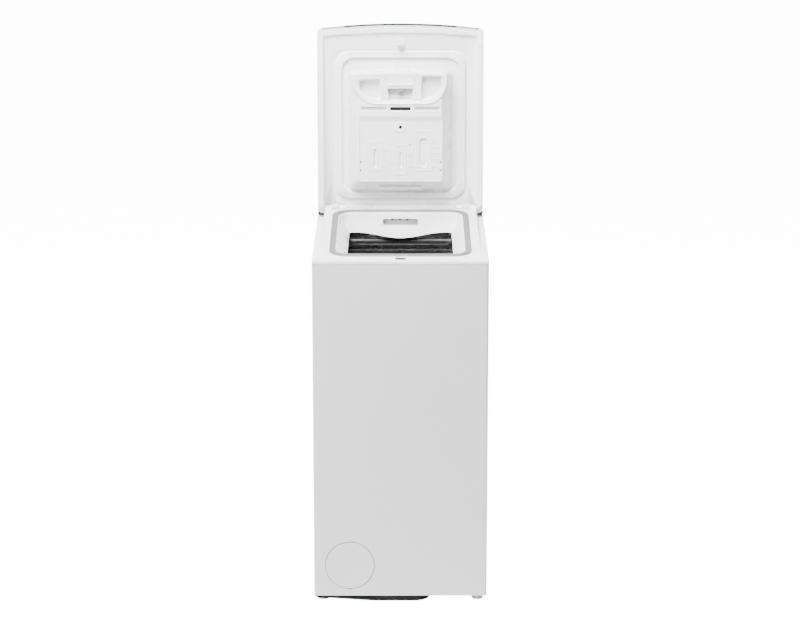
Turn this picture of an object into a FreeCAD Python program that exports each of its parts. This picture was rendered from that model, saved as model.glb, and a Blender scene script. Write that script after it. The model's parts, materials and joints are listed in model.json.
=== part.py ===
import FreeCAD, Part
import math
import os

# Top loading washing machine, slim European form. Millimetres, +Z up, front towards -Y.
# The origin is on the floor, under the middle of the cabinet. The lid is modelled standing open.

Vec = FreeCAD.Vector
X_AXIS = Vec(1, 0, 0)
Y_AXIS = Vec(0, 1, 0)
Z_AXIS = Vec(0, 0, 1)

# ---- cabinet -------------------------------------------------------------------------------
WIDTH = 400.0
DEPTH = 600.0
HEIGHT = 900.0
HALF = WIDTH / 2
FRONT = -DEPTH / 2
BACK = DEPTH / 2
SHEET = 1.2
PANEL_BOTTOM = 14.5
SEAM_Z = 800.0
SEAM_GAP = 0.5
RETURN_DEPTH = 12.5
CORNER_R = 6.0
REAR_FLANGE_Y = BACK - 1.0
SHELL = 2.5

# ---- top frame, opening and throat ---------------------------------------------------------
TOP_SLOPE = math.radians(5.97)
PLATEAU_FRONT_Y = FRONT + 39.0
PLATEAU_FRONT_Z = 809.0
PLATEAU_BACK_Y = 122.0
PLATEAU_HALF = 183.0
SHOULDER_FRONT_Z = 806.0
SHOULDER_HINGE_Z = 829.0
TOP_FRAME_BACK_Y = 158.0
OPENING_BACK_Y = 98.0
OPENING_FRONT_Y = -246.0
OPENING_HALF_BACK = 150.6
OPENING_HALF_FRONT = 147.6
OPENING_R = 33.0
FLANGE_WIDTH = 7.4
GASKET_WIDTH = 14.4
GASKET_HEIGHT = 3.0
THROAT_BOTTOM_Z = 790.0
THROAT_BOTTOM_HALF = 123.0
THROAT_BOTTOM_BACK_Y = 86.0
THROAT_BOTTOM_FRONT_Y = -228.0
THROAT_BOTTOM_R = 20.0
PORT_Z = 814.0

# ---- lid -----------------------------------------------------------------------------------
HINGE_Y = 134.0
HINGE_Z = 840.5
LID_HALF = 199.5
LID_LENGTH = 453.0
LID_SIDE_LENGTH = 441.0
LID_OUTER_W = 50.0
LID_PANEL_W = 17.3
DISPENSER_V0 = 48.0
DISPENSER_V1 = 343.0
DISPENSER_BACK_W = 16.8
DISPENSER_FACE_W = -26.0
LID_RIM_INNER = 185.0
LID_GAP = 1.0
BARREL_R = 8.0
PIN_R = 4.0
SHAFT_CLEARANCE = 0.06

# ---- tub and drum --------------------------------------------------------------------------
AXIS_Y = -45.0
AXIS_Z = 450.0
TUB_R = 230.0
TUB_WALL = 3.0
TUB_HALF = 140.0
TUB_END = 4.0
NECK_HALF = 125.0
NECK_FRONT_Y = -190.0
NECK_BACK_Y = 95.0
NECK_TOP_Z = 722.0
DRUM_R = 220.0
DRUM_HALF = 132.0
DRUM_SHEET = 1.2
FLAP_HALF = 99.0
FLAP_ANGLE = 33.2
FLAP_HINGE_R = 216.5
SHAFT_R = 15.0
BEARING_R = 31.0
HUB_END = 158.0
PULLEY_R = 150.0
PULLEY_X = -168.0
PULLEY_WIDTH = 16.0
MOTOR_Y = 115.0
MOTOR_Z = 165.0
MOTOR_PULLEY_R = 11.0
MOTOR_R = 55.0
SPRING_X = 165.0
SPRING_YS = (-205.0, 115.0)
DAMPER_X = 90.0
RAIL_Z = 764.0

# ---- service parts -------------------------------------------------------------------------
FILTER_X = -117.0
FILTER_Z = 88.0
FILTER_COVER_R = 56.0
FOOT_X = 179.0
FOOT_Y = -270.0
FOOT_R = 13.5
REAR_FOOT_Y = 270.0
LEVER_X = 32.0
LEVER_Y = -262.0
LEVER_HUB_R = 37.0
CASTOR_Y = -203.0
CASTOR_Z = 21.0
CASTOR_R = 16.0
CASTOR_X = 110.0
INLET_X = -120.0
INLET_Z = 760.0
INLET_THREAD_R = 13.22
OUTLET_X = 120.0
OUTLET_Z = 100.0
OUTLET_R = 9.5
GLAND_X = 150.0
GLAND_Z = 175.0

# ---- console -------------------------------------------------------------------------------
CONSOLE_Y = 160.0
CONSOLE_FRONT_Z = 848.0
FASCIA_BACK_Y = 288.0
FASCIA_ANGLE = math.atan2(HEIGHT - CONSOLE_FRONT_Z, FASCIA_BACK_Y - CONSOLE_Y)
KNOB_X = -70.0
BUTTON_R = 7.0


# ---- helpers -------------------------------------------------------------------------------
def box(x0, y0, z0, x1, y1, z1):
    return Part.makeBox(x1 - x0, y1 - y0, z1 - z0, Vec(x0, y0, z0))


def rod(start, end, radius):
    along = end - start
    return Part.makeCylinder(radius, along.Length, start, along)


def fuse(shapes):
    first = shapes[0]
    rest = list(shapes[1:])
    return first.multiFuse(rest).removeSplitter() if rest else first


def mirror_x(shape):
    return shape.mirror(Vec(0, 0, 0), X_AXIS)


def side_prism(points, x0, x1):
    """A prism along X from a (y, z) outline."""
    corners = [Vec(x0, y, z) for y, z in points]
    return Part.Face(Part.makePolygon(corners + corners[:1])).extrude(Vec(x1 - x0, 0, 0))


def rounded_prism(half_back, half_front, y_back, y_front, radius, z0, z1):
    """A vertical prism with a slightly tapered, round-cornered plan."""
    corners = [Vec(-half_front, y_front, z0), Vec(half_front, y_front, z0),
               Vec(half_back, y_back, z0), Vec(-half_back, y_back, z0)]
    solid = Part.Face(Part.makePolygon(corners + corners[:1])).extrude(Vec(0, 0, z1 - z0))
    uprights = [e for e in solid.Edges if abs(e.tangentAt(e.FirstParameter).z) > 0.99]
    return solid.makeFillet(radius, uprights)


def rounded_wire(half, y_back, y_front, radius, z):
    """The plan outline as a closed wire of lines and arcs, level or sloped by z(y)."""
    d = radius * (1 - math.sqrt(0.5))
    ends = [(-half + radius, y_front), (half - radius, y_front), (half, y_front + radius),
            (half, y_back - radius), (half - radius, y_back), (-half + radius, y_back),
            (-half, y_back - radius), (-half, y_front + radius)]
    mids = {1: (half - d, y_front + d), 3: (half - d, y_back - d),
            5: (-half + d, y_back - d), 7: (-half + d, y_front + d)}
    points = [Vec(x, y, z(y)) for x, y in ends]
    edges = []
    for i, start in enumerate(points):
        end = points[(i + 1) % len(points)]
        if i in mids:
            mx, my = mids[i]
            edges.append(Part.Arc(start, Vec(mx, my, z(my)), end).toShape())
        else:
            edges.append(Part.LineSegment(start, end).toShape())
    return Part.Wire(edges)


def tube_path(points, radius):
    """A hose run: straight runs with round joints."""
    pieces = [rod(a, b, radius) for a, b in zip(points, points[1:])]
    pieces += [Part.makeSphere(radius, p) for p in points[1:-1]]
    return fuse(pieces)


def plateau_z(y):
    return PLATEAU_FRONT_Z + (y - PLATEAU_FRONT_Y) * math.tan(TOP_SLOPE)


def shoulder_z(y):
    rise = (SHOULDER_HINGE_Z - SHOULDER_FRONT_Z) / (HINGE_Y - FRONT)
    return SHOULDER_FRONT_Z + (y - FRONT) * rise


def plateau_slab(low, high, y0=FRONT - 20, y1=BACK):
    """A slab parallel to the plateau, between two heights above it."""
    outline = [(y0, plateau_z(y0) + low), (y1, plateau_z(y1) + low),
               (y1, plateau_z(y1) + high), (y0, plateau_z(y0) + high)]
    return side_prism(outline, -WIDTH, WIDTH)


def opening_prism(margin, z0=700.0, z1=950.0):
    """The plan of the loading opening, grown by a margin."""
    return rounded_prism(OPENING_HALF_BACK + margin, OPENING_HALF_FRONT + margin,
                         OPENING_BACK_Y + margin, OPENING_FRONT_Y - margin,
                         OPENING_R + margin * 0.5, z0, z1)


def drum_point(angle, radius, x=0.0):
    """A point round the drum axis; 0 degrees is straight up, positive towards the back."""
    a = math.radians(angle)
    return Vec(x, AXIS_Y + radius * math.sin(a), AXIS_Z + radius * math.cos(a))


def drum_cylinder(radius, x0, x1):
    return rod(Vec(x0, AXIS_Y, AXIS_Z), Vec(x1, AXIS_Y, AXIS_Z), radius)


def drum_sector(radius, x0, x1, angle0, angle1):
    """A pie slice of a cylinder round the drum axis."""
    start = drum_point(angle0, radius, x0)
    middle = drum_point((angle0 + angle1) / 2, radius, x0)
    end = drum_point(angle1, radius, x0)
    centre = Vec(x0, AXIS_Y, AXIS_Z)
    edges = [Part.LineSegment(centre, start).toShape(), Part.Arc(start, middle, end).toShape(),
             Part.LineSegment(end, centre).toShape()]
    return Part.Face(Part.Wire(edges)).extrude(Vec(x1 - x0, 0, 0))


def lid_point(x, v, w):
    """A point on the open lid: v up from the hinge axis, w back from it."""
    return Vec(x, HINGE_Y + w, HINGE_Z + v)


def lid_box(x0, v0, w0, x1, v1, w1):
    return box(x0, HINGE_Y + w0, HINGE_Z + v0, x1, HINGE_Y + w1, HINGE_Z + v1)


def lid_prism(points, x0, x1):
    """A prism along X from a (v, w) outline on the open lid."""
    return side_prism([(HINGE_Y + w, HINGE_Z + v) for v, w in points], x0, x1)


def rim_w(v):
    """Inner edge of the lid's side rims: it lies just above the shoulders when shut."""
    shoulder_slope = (SHOULDER_HINGE_Z - SHOULDER_FRONT_Z) / (HINGE_Y - FRONT)
    start = SHOULDER_HINGE_Z - HINGE_Z + LID_GAP
    return start + v * (math.tan(TOP_SLOPE) - shoulder_slope)


def lid_plan(margin, v0, w0, w1):
    """The lid's outline seen from the front, with its bowed front edge, pulled in by a margin."""
    half = LID_HALF - margin
    side = LID_SIDE_LENGTH - margin
    left = lid_point(-half, side, w0)
    right = lid_point(half, side, w0)
    edges = [Part.LineSegment(lid_point(-half, v0, w0), left).toShape(),
             Part.Arc(left, lid_point(0, LID_LENGTH - margin, w0), right).toShape(),
             Part.LineSegment(right, lid_point(half, v0, w0)).toShape(),
             Part.LineSegment(lid_point(half, v0, w0), lid_point(-half, v0, w0)).toShape()]
    solid = Part.Face(Part.Wire(edges)).extrude(Vec(0, w1 - w0, 0))
    top = HINGE_Z + side
    corners = [e for e in solid.Edges if abs(e.tangentAt(e.FirstParameter).y) > 0.99
               and abs(e.CenterOfMass.z - top) < 1.0]
    return solid.makeFillet(11.0 - margin * 0.8, corners)


def lid_ring(x_out, v0, v1, width, radius, w0, w1):
    """A round-cornered rectangular bead on the lid's inner side."""
    def slab(x, low, high, r):
        solid = lid_box(-x, low, w0, x, high, w1)
        corners = [e for e in solid.Edges if abs(e.tangentAt(e.FirstParameter).y) > 0.99]
        return solid.makeFillet(r, corners)
    inner_r = max(radius - width, 4.0)
    return slab(x_out, v0, v1, radius).cut(slab(x_out - width, v0 + width, v1 - width, inner_r))


def fascia_point(x, along, out):
    """A point on the console fascia: along it from its front edge, and out from its face."""
    c = math.cos(FASCIA_ANGLE)
    s = math.sin(FASCIA_ANGLE)
    return Vec(x, CONSOLE_Y + along * c - out * s, CONSOLE_FRONT_Z + along * s + out * c)


def save(name, shape):
    solids = shape.Solids
    shape = solids[0] if len(solids) == 1 else Part.makeCompound(solids)
    shape.exportStep("parts/%s.step" % name)
    print("%-24s %9.1f cm3 %3d solids %s" % (name, shape.Volume / 1000, len(solids),
                                           "ok" if shape.isValid() else "INVALID"))


# ---- cabinet panels ------------------------------------------------------------------------
def screw_places():
    heights = (68.0, 245.0, 430.0, 615.0, 775.0)
    return [Vec(side * 189.0, REAR_FLANGE_Y, z) for side in (-1, 1) for z in heights]


def screw_holes(radius):
    return [rod(p - Y_AXIS * 6, p + Y_AXIS * 2, radius) for p in screw_places()]


def side_panel():
    top = SEAM_Z - SEAM_GAP
    inner = HALF - SHEET
    front = FRONT + RETURN_DEPTH
    parts = [box(inner, front, PANEL_BOTTOM, HALF, REAR_FLANGE_Y, top),
             box(HALF - 20, REAR_FLANGE_Y - SHEET, PANEL_BOTTOM, inner, REAR_FLANGE_Y, top),
             box(HALF - 14, front, top - SHEET, inner, REAR_FLANGE_Y - SHEET, top),
             box(HALF - 20, front, PANEL_BOTTOM, inner, REAR_FLANGE_Y - SHEET, PANEL_BOTTOM + SHEET)]
    feet = [rod(Vec(FOOT_X, y, 0), Vec(FOOT_X, y, 30), FOOT_R + 1) for y in (FOOT_Y, REAR_FOOT_Y)]
    return fuse(parts).cut(Part.makeCompound(screw_holes(2.1) + feet))


def front_panel():
    top = SEAM_Z - SEAM_GAP
    back = FRONT + RETURN_DEPTH - 0.3

    def bent_box(inset, y_end, z0, z1):
        solid = box(-HALF + inset, FRONT + inset, z0, HALF - inset, y_end, z1)
        corners = [e for e in solid.Edges if abs(e.tangentAt(e.FirstParameter).z) > 0.99
                   and e.CenterOfMass.y < FRONT + inset + 1]
        return solid.makeFillet(CORNER_R - inset, corners)

    outer = bent_box(0.0, back, PANEL_BOTTOM, top)
    inner = bent_box(SHEET, back + 5, PANEL_BOTTOM + SHEET, top - SHEET)
    hole = rod(Vec(FILTER_X, FRONT - 5, FILTER_Z), Vec(FILTER_X, FRONT + 5, FILTER_Z),
               FILTER_COVER_R + 0.8)
    relief = box(-HALF + 15, FRONT + 6, PANEL_BOTTOM - 1, HALF - 15, back + 5, PANEL_BOTTOM + 3)
    return outer.cut(inner).cut(hole).cut(relief)


def rear_panel():
    y1 = REAR_FLANGE_Y - SHEET
    plate = box(-HALF + 4, y1 - SHEET, 20, HALF - 4, y1, SEAM_Z - 4)
    holes = screw_holes(2.1)
    holes += [rod(Vec(x, y1 - 5, z), Vec(x, y1 + 5, z), r) for x, z, r in
              ((INLET_X, INLET_Z, 27.0), (OUTLET_X, OUTLET_Z, 24.0), (GLAND_X, GLAND_Z, 11.3))]
    ribs = [box(-150, y1 - SHEET - 4, z, 60, y1 - SHEET, z + 6) for z in (260, 380, 500, 620)]
    return fuse([plate] + ribs).cut(Part.makeCompound(holes))


def panel_screws():
    screws = []
    for p in screw_places():
        head = rod(p, p + Y_AXIS * 1.0, 4.2)
        shank = rod(p - Y_AXIS * 5, p, 1.9)
        screws.append(head.fuse(shank))
    return Part.makeCompound(screws)


def base_tray():
    """Pressed bottom pan with moulded rear feet, foot bosses and the castor slot."""
    low = PANEL_BOTTOM + SHEET + 0.3
    high = 60.0
    outer = box(-HALF + 2.4, FRONT + RETURN_DEPTH + 1.0, low, HALF - 2.4, BACK - 5, high)
    inner = box(-HALF + 4.4, FRONT + RETURN_DEPTH + 3.0, low + 2.5, HALF - 4.4, BACK - 7, high + 1)
    tray = outer.cut(inner)
    boss = rod(Vec(FOOT_X, FOOT_Y, low), Vec(FOOT_X, FOOT_Y, 40), 11.0)
    rear_foot = rod(Vec(FOOT_X, REAR_FOOT_Y, 0), Vec(FOOT_X, REAR_FOOT_Y, low + 1), FOOT_R)
    bearing = rod(Vec(LEVER_X, LEVER_Y, low), Vec(LEVER_X, LEVER_Y, 44), 14.0)
    tray = fuse([tray, boss, mirror_x(boss), rear_foot, mirror_x(rear_foot), bearing])
    cuts = [rod(Vec(s * FOOT_X, FOOT_Y, 0), Vec(s * FOOT_X, FOOT_Y, 60), 5.0 + SHAFT_CLEARANCE)
            for s in (-1, 1)]
    cuts.append(rod(Vec(LEVER_X, LEVER_Y, 0), Vec(LEVER_X, LEVER_Y, 60), 8.0 + SHAFT_CLEARANCE))
    cuts.append(box(-132, CASTOR_Y - 20, 0, 132, CASTOR_Y + 20, low + 3))
    cuts.append(rod(Vec(FILTER_X, FRONT, FILTER_Z), Vec(FILTER_X, -180, FILTER_Z), 37.0))
    return tray.cut(Part.makeCompound(cuts))


# ---- top of the cabinet --------------------------------------------------------------------
def top_frame():
    def profile(inset, x_half, top, y0, y1, base):
        outline = [(y0 + inset, base), (y0 + inset, top(y0 + inset) - inset),
                   (y1 - inset, top(y1 - inset) - inset), (y1 - inset, base)]
        return side_prism(outline, -x_half + inset, x_half - inset)

    shoulders = profile(0, HALF, shoulder_z, FRONT, TOP_FRAME_BACK_Y, SEAM_Z)
    plateau = profile(0, PLATEAU_HALF, plateau_z, FRONT + 1.0, PLATEAU_BACK_Y, SEAM_Z)
    lug = rod(Vec(PLATEAU_HALF - 15, HINGE_Y, HINGE_Z), Vec(PLATEAU_HALF, HINGE_Y, HINGE_Z), 9.5)
    web = box(PLATEAU_HALF - 15, HINGE_Y - 9.5, 820, PLATEAU_HALF, HINGE_Y + 9.5, HINGE_Z)
    outer = fuse([shoulders, plateau])
    hollow = fuse([profile(SHELL, HALF, shoulder_z, FRONT, TOP_FRAME_BACK_Y, SEAM_Z - 1),
                   profile(SHELL, PLATEAU_HALF, plateau_z, FRONT + 1.0, PLATEAU_BACK_Y, SEAM_Z - 1)])
    frame = fuse([outer.cut(hollow), lug, web, mirror_x(lug), mirror_x(web)])
    cuts = [opening_prism(FLANGE_WIDTH + 0.3),
            box(-12, -284, 780, 12, -264, 830),
            rod(Vec(-HALF, HINGE_Y, HINGE_Z), Vec(HALF, HINGE_Y, HINGE_Z), PIN_R + SHAFT_CLEARANCE)]
    return frame.cut(Part.makeCompound(cuts))


def lid_gasket():
    ring = opening_prism(GASKET_WIDTH).cut(opening_prism(0.0))
    return ring.common(plateau_slab(0.0, GASKET_HEIGHT))


def throat():
    """Moulded funnel from the opening down to the bellows, with the water slot at its back."""
    def funnel(grow):
        top = rounded_wire(OPENING_HALF_BACK - 1.5 + grow, OPENING_BACK_Y + grow,
                           OPENING_FRONT_Y - grow, OPENING_R, lambda y: plateau_z(y))
        low = rounded_wire(THROAT_BOTTOM_HALF + grow, THROAT_BOTTOM_BACK_Y + grow,
                           THROAT_BOTTOM_FRONT_Y - grow, THROAT_BOTTOM_R, lambda y: THROAT_BOTTOM_Z)
        return Part.makeLoft([low, top], True, True)

    flange = opening_prism(FLANGE_WIDTH).cut(opening_prism(-3.0)).common(plateau_slab(-SHELL, 0.0))
    nozzle = box(-48, OPENING_BACK_Y - 14, 804, 48, OPENING_BACK_Y + 14, 836)
    nozzle = nozzle.cut(box(-45, OPENING_BACK_Y - 15, 807, 45, OPENING_BACK_Y + 11, 833))
    port = rod(Vec(-30, OPENING_BACK_Y + 10, PORT_Z), Vec(-30, OPENING_BACK_Y + 26, PORT_Z), 8.0)
    body = fuse([funnel(SHELL), flange, nozzle, port])
    slot = box(-42, OPENING_BACK_Y - 30, 815.5, 42, OPENING_BACK_Y + 5, 830.5)
    bore = rod(Vec(-30, OPENING_BACK_Y + 5, PORT_Z), Vec(-30, OPENING_BACK_Y + 40, PORT_Z), 6.0)
    return body.cut(funnel(0.0)).cut(slot).cut(bore)


def bellows():
    """Folded rubber seal between the throat and the tub neck."""
    folds = ((0.0, 4.0), (0.22, 4.0), (0.36, 14.0), (0.50, 4.0), (0.64, 14.0), (0.78, 4.0), (1.0, 4.0))
    z0 = NECK_TOP_Z + 0.2
    z1 = THROAT_BOTTOM_Z - 0.2

    def sleeve(inset):
        wires = []
        for t, out in folds:
            grow = out - inset
            half = NECK_HALF + (THROAT_BOTTOM_HALF - NECK_HALF) * t + grow
            back = NECK_BACK_Y + (THROAT_BOTTOM_BACK_Y - NECK_BACK_Y) * t + grow
            front = NECK_FRONT_Y + (THROAT_BOTTOM_FRONT_Y - NECK_FRONT_Y) * t - grow
            z = z0 + (z1 - z0) * t
            wires.append(rounded_wire(half, back, front, THROAT_BOTTOM_R + grow, lambda y, z=z: z))
        return Part.makeLoft(wires, True, True)

    return sleeve(0.0).cut(sleeve(3.0))


def console_housing():
    """Moulded console behind the lid, hollow, with a sloped fascia."""
    def profile(t):
        s = math.sin(FASCIA_ANGLE)
        return [(CONSOLE_Y + t, SEAM_Z - (t > 0)), (CONSOLE_Y + t, CONSOLE_FRONT_Z - t * (1 - s)),
                (FASCIA_BACK_Y, HEIGHT - t * 1.1), (REAR_FLANGE_Y - t, HEIGHT - t * 1.1),
                (REAR_FLANGE_Y - t, SEAM_Z - (t > 0))]
    hollow = side_prism(profile(SHELL), -HALF + SHELL, HALF - SHELL)
    shell = side_prism(profile(0.0), -HALF, HALF).cut(hollow)
    cuts = [rod(fascia_point(KNOB_X, 64, -12), fascia_point(KNOB_X, 64, 5), 4.0 + SHAFT_CLEARANCE)]
    for x, along in ((130.0, 64.0), (62.0, 92.0)):
        cuts.append(rod(fascia_point(x, along, -8), fascia_point(x, along, 5), BUTTON_R + 0.3))
    return shell.cut(Part.makeCompound(cuts))


def display_window():
    corners = [fascia_point(20, 36, 0.0), fascia_point(100, 36, 0.0), fascia_point(100, 72, 0.0),
               fascia_point(20, 72, 0.0)]
    normal = fascia_point(0, 0, 1.2) - fascia_point(0, 0, 0)
    return Part.Face(Part.makePolygon(corners + corners[:1])).extrude(normal)


def program_knob():
    def at(out):
        return fascia_point(KNOB_X, 64, out)
    skirt = rod(at(0.4), at(3.0), 24.0)
    grip = Part.makeCone(20.0, 18.0, 11.0, at(3.0), at(4.0) - at(3.0))
    shaft = rod(at(-10.0), at(0.4), 4.0)
    return fuse([skirt, grip, shaft])


def push_button(x, along):
    cap = rod(fascia_point(x, along, -5.0), fascia_point(x, along, 2.0), BUTTON_R)
    return cap


def control_board():
    board = box(-150, 180, 826, 150, 285, 827.6)
    blocks = [box(-130, 200, 827.6, -100, 240, 846), box(-20, 195, 827.6, 15, 225, 838),
              box(90, 215, 827.6, 135, 270, 850), box(-90, 250, 827.6, -40, 275, 842)]
    posts = [rod(Vec(x, y, 800.5), Vec(x, y, 826), 4.0) for x in (-140, 140) for y in (190, 275)]
    return fuse([board] + blocks + posts)


def lid_lock():
    body = box(-36, FRONT + RETURN_DEPTH - 0.1, 772, 36, -257, 799.5)
    slot = box(-12, -284, 784, 12, -264, 800)
    return body.cut(slot)


# ---- water, power and drain ----------------------------------------------------------------
def water_inlet_valve():
    body = box(INLET_X - 20, 232, INLET_Z - 18, INLET_X + 20, 276, INLET_Z + 18)
    thread = rod(Vec(INLET_X, 276, INLET_Z), Vec(INLET_X, 297, INLET_Z), INLET_THREAD_R)
    coil = rod(Vec(INLET_X, 254, INLET_Z - 46), Vec(INLET_X, 254, INLET_Z - 18), 15.0)
    bore = rod(Vec(INLET_X, 262, INLET_Z), Vec(INLET_X, 300, INLET_Z), 8.0)
    ear = box(INLET_X - 34, 270, INLET_Z - 8, INLET_X - 20, 276, INLET_Z + 8)
    return fuse([body, thread, coil, ear, mirror_ear(ear)]).cut(bore)


def mirror_ear(ear):
    return ear.mirror(Vec(INLET_X, 0, 0), X_AXIS)


def fill_hose():
    """Internal hose from the inlet valve to the throat's water port."""
    points = [Vec(INLET_X, 231.8, INLET_Z), Vec(INLET_X, 212, INLET_Z), Vec(-85, 168, 780),
              Vec(-30, 142, 788), Vec(-30, 142, PORT_Z), Vec(-30, OPENING_BACK_Y + 26.2, PORT_Z)]
    return tube_path(points, 7.5)


def filter_housing():
    y0 = -276.0
    y1 = -186.0
    tube = rod(Vec(FILTER_X, y0, FILTER_Z), Vec(FILTER_X, y1, FILTER_Z), 34.0)
    neck = rod(Vec(FILTER_X, -215, FILTER_Z), Vec(FILTER_X, -215, FILTER_Z + 52), 17.0)
    foot = box(FILTER_X - 26, -240, 18.8, FILTER_X + 26, -226, FILTER_Z)
    body = fuse([tube, neck, foot.cut(box(FILTER_X - 60, -241, 18.7, FILTER_X + 60, -225, 45))])
    bore = rod(Vec(FILTER_X, y0 - 1, FILTER_Z), Vec(FILTER_X, y1 - 3, FILTER_Z), 30.0)
    return body.cut(bore)


def pump_filter_cap():
    """Screwed filter plug with its lint basket and a cross grip."""
    def at(y):
        return Vec(FILTER_X, y, FILTER_Z)
    flange = rod(at(-281), at(-276.2), 33.0)
    plug = rod(at(-276.3), at(-258), 29.6)
    grip = box(FILTER_X - 28, -291, FILTER_Z - 4, FILTER_X + 28, -281, FILTER_Z + 4)
    basket = rod(at(-258), at(-205), 24.0).cut(rod(at(-256), at(-204), 22.0))
    slots = [box(FILTER_X - 30, y, FILTER_Z - 14, FILTER_X + 30, y + 5, FILTER_Z + 14)
             for y in (-250, -240, -230, -220)]
    return fuse([flange, plug, grip, basket]).cut(Part.makeCompound(slots))


def drain_pump():
    volute = rod(Vec(FILTER_X, -185.8, FILTER_Z), Vec(FILTER_X, -160, FILTER_Z), 36.0)
    motor = rod(Vec(FILTER_X, -160, FILTER_Z), Vec(FILTER_X, -112, FILTER_Z), 24.0)
    spout = rod(Vec(FILTER_X, -172, FILTER_Z), Vec(FILTER_X - 46, -172, FILTER_Z), 9.5)
    return fuse([volute, motor, spout])


def sump_hose():
    points = [Vec(-60, -100, 200.8), Vec(-60, -110, 172), Vec(FILTER_X, -200, 160),
              Vec(FILTER_X, -215, FILTER_Z + 52.2)]
    hose = tube_path(points, 15.0)
    top = box(-100, -140, 200.8, 0, -60, 230)
    low = box(FILTER_X - 30, -245, 100, FILTER_X + 30, -185, FILTER_Z + 52.2)
    return hose.cut(top).cut(low)


def drain_hose():
    x0 = FILTER_X - 46.2
    points = [Vec(x0, -172, FILTER_Z), Vec(x0 - 10, -172, FILTER_Z), Vec(x0 - 16, -150, FILTER_Z),
              Vec(x0 - 16, 190, 78), Vec(x0 + 60, 258, 78), Vec(80, 258, 78), Vec(OUTLET_X, 262, OUTLET_Z)]
    hose = tube_path(points, 8.5)
    spigot = rod(Vec(OUTLET_X, 262, OUTLET_Z), Vec(OUTLET_X, 298, OUTLET_Z), OUTLET_R)
    collar = rod(Vec(OUTLET_X, 270, OUTLET_Z), Vec(OUTLET_X, 275, OUTLET_Z), 20.0)
    return fuse([hose, spigot, collar])


def power_inlet():
    body = box(GLAND_X - 22, 236, GLAND_Z - 30, GLAND_X + 22, 288, GLAND_Z + 30)
    gland = rod(Vec(GLAND_X, 288, GLAND_Z), Vec(GLAND_X, 299, GLAND_Z), 10.8)
    bore = rod(Vec(GLAND_X, 280, GLAND_Z), Vec(GLAND_X, 305, GLAND_Z), 4.2)
    return fuse([body, gland]).cut(bore)


def filter_cover():
    """Round service cover, hinged at its lowest point."""
    def at(y):
        return Vec(FILTER_X, y, FILTER_Z)
    disc = rod(at(FRONT), at(FRONT + 2.0), FILTER_COVER_R)
    rim = rod(at(FRONT + 2.0), at(FRONT + 6.0), FILTER_COVER_R - 8)
    rim = rim.cut(rod(at(FRONT + 2.0), at(FRONT + 6.5), FILTER_COVER_R - 10))
    notch = rod(Vec(FILTER_X, FRONT - 1, FILTER_Z - FILTER_COVER_R),
                Vec(FILTER_X, FRONT + 3, FILTER_Z - FILTER_COVER_R), 2.6)
    return fuse([disc, rim]).cut(notch)


# ---- suspension ----------------------------------------------------------------------------
def suspension_rails():
    rail = box(155, FRONT + 13, RAIL_Z, 175, BACK - 6, RAIL_Z + 16)
    rail = rail.cut(box(157, FRONT + 12, RAIL_Z + 2, 173, BACK - 5, RAIL_Z + 14))
    return Part.makeCompound([rail, mirror_x(rail)])


def suspension_springs():
    springs = []
    for side in (-1, 1):
        for y in SPRING_YS:
            x = side * SPRING_X
            coil = rod(Vec(x, y, 588), Vec(x, y, 750), 13.0).cut(rod(Vec(x, y, 587), Vec(x, y, 751), 9.5))
            caps = [rod(Vec(x, y, 584), Vec(x, y, 588.5), 13.0), rod(Vec(x, y, 749.5), Vec(x, y, 754), 13.0)]
            hooks = [rod(Vec(x, y, 568.2), Vec(x, y, 584), 2.5),
                     rod(Vec(x, y, 754), Vec(x, y, RAIL_Z - 0.2), 2.5)]
            springs.append(fuse([coil] + caps + hooks))
    return Part.makeCompound(springs)


def damper_cylinders():
    cylinder = rod(Vec(DAMPER_X, AXIS_Y, 24), Vec(DAMPER_X, AXIS_Y, 150), 17.0)
    ear = box(DAMPER_X - 12, AXIS_Y - 12, 18.8, DAMPER_X + 12, AXIS_Y + 12, 26)
    bore = rod(Vec(DAMPER_X, AXIS_Y, 80), Vec(DAMPER_X, AXIS_Y, 151), 6.0 + SHAFT_CLEARANCE)
    one = fuse([cylinder, ear]).cut(bore)
    return Part.makeCompound([one, mirror_x(one)])


def damper_rods():
    stem = rod(Vec(DAMPER_X, AXIS_Y, 100), Vec(DAMPER_X, AXIS_Y, 198), 6.0)
    eye = box(DAMPER_X - 10, AXIS_Y - 8, 190, DAMPER_X + 10, AXIS_Y + 8, 197.8)
    one = fuse([stem, eye]).common(box(0, -200, 0, 200, 200, 197.8))
    return Part.makeCompound([one, mirror_x(one)])


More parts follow.
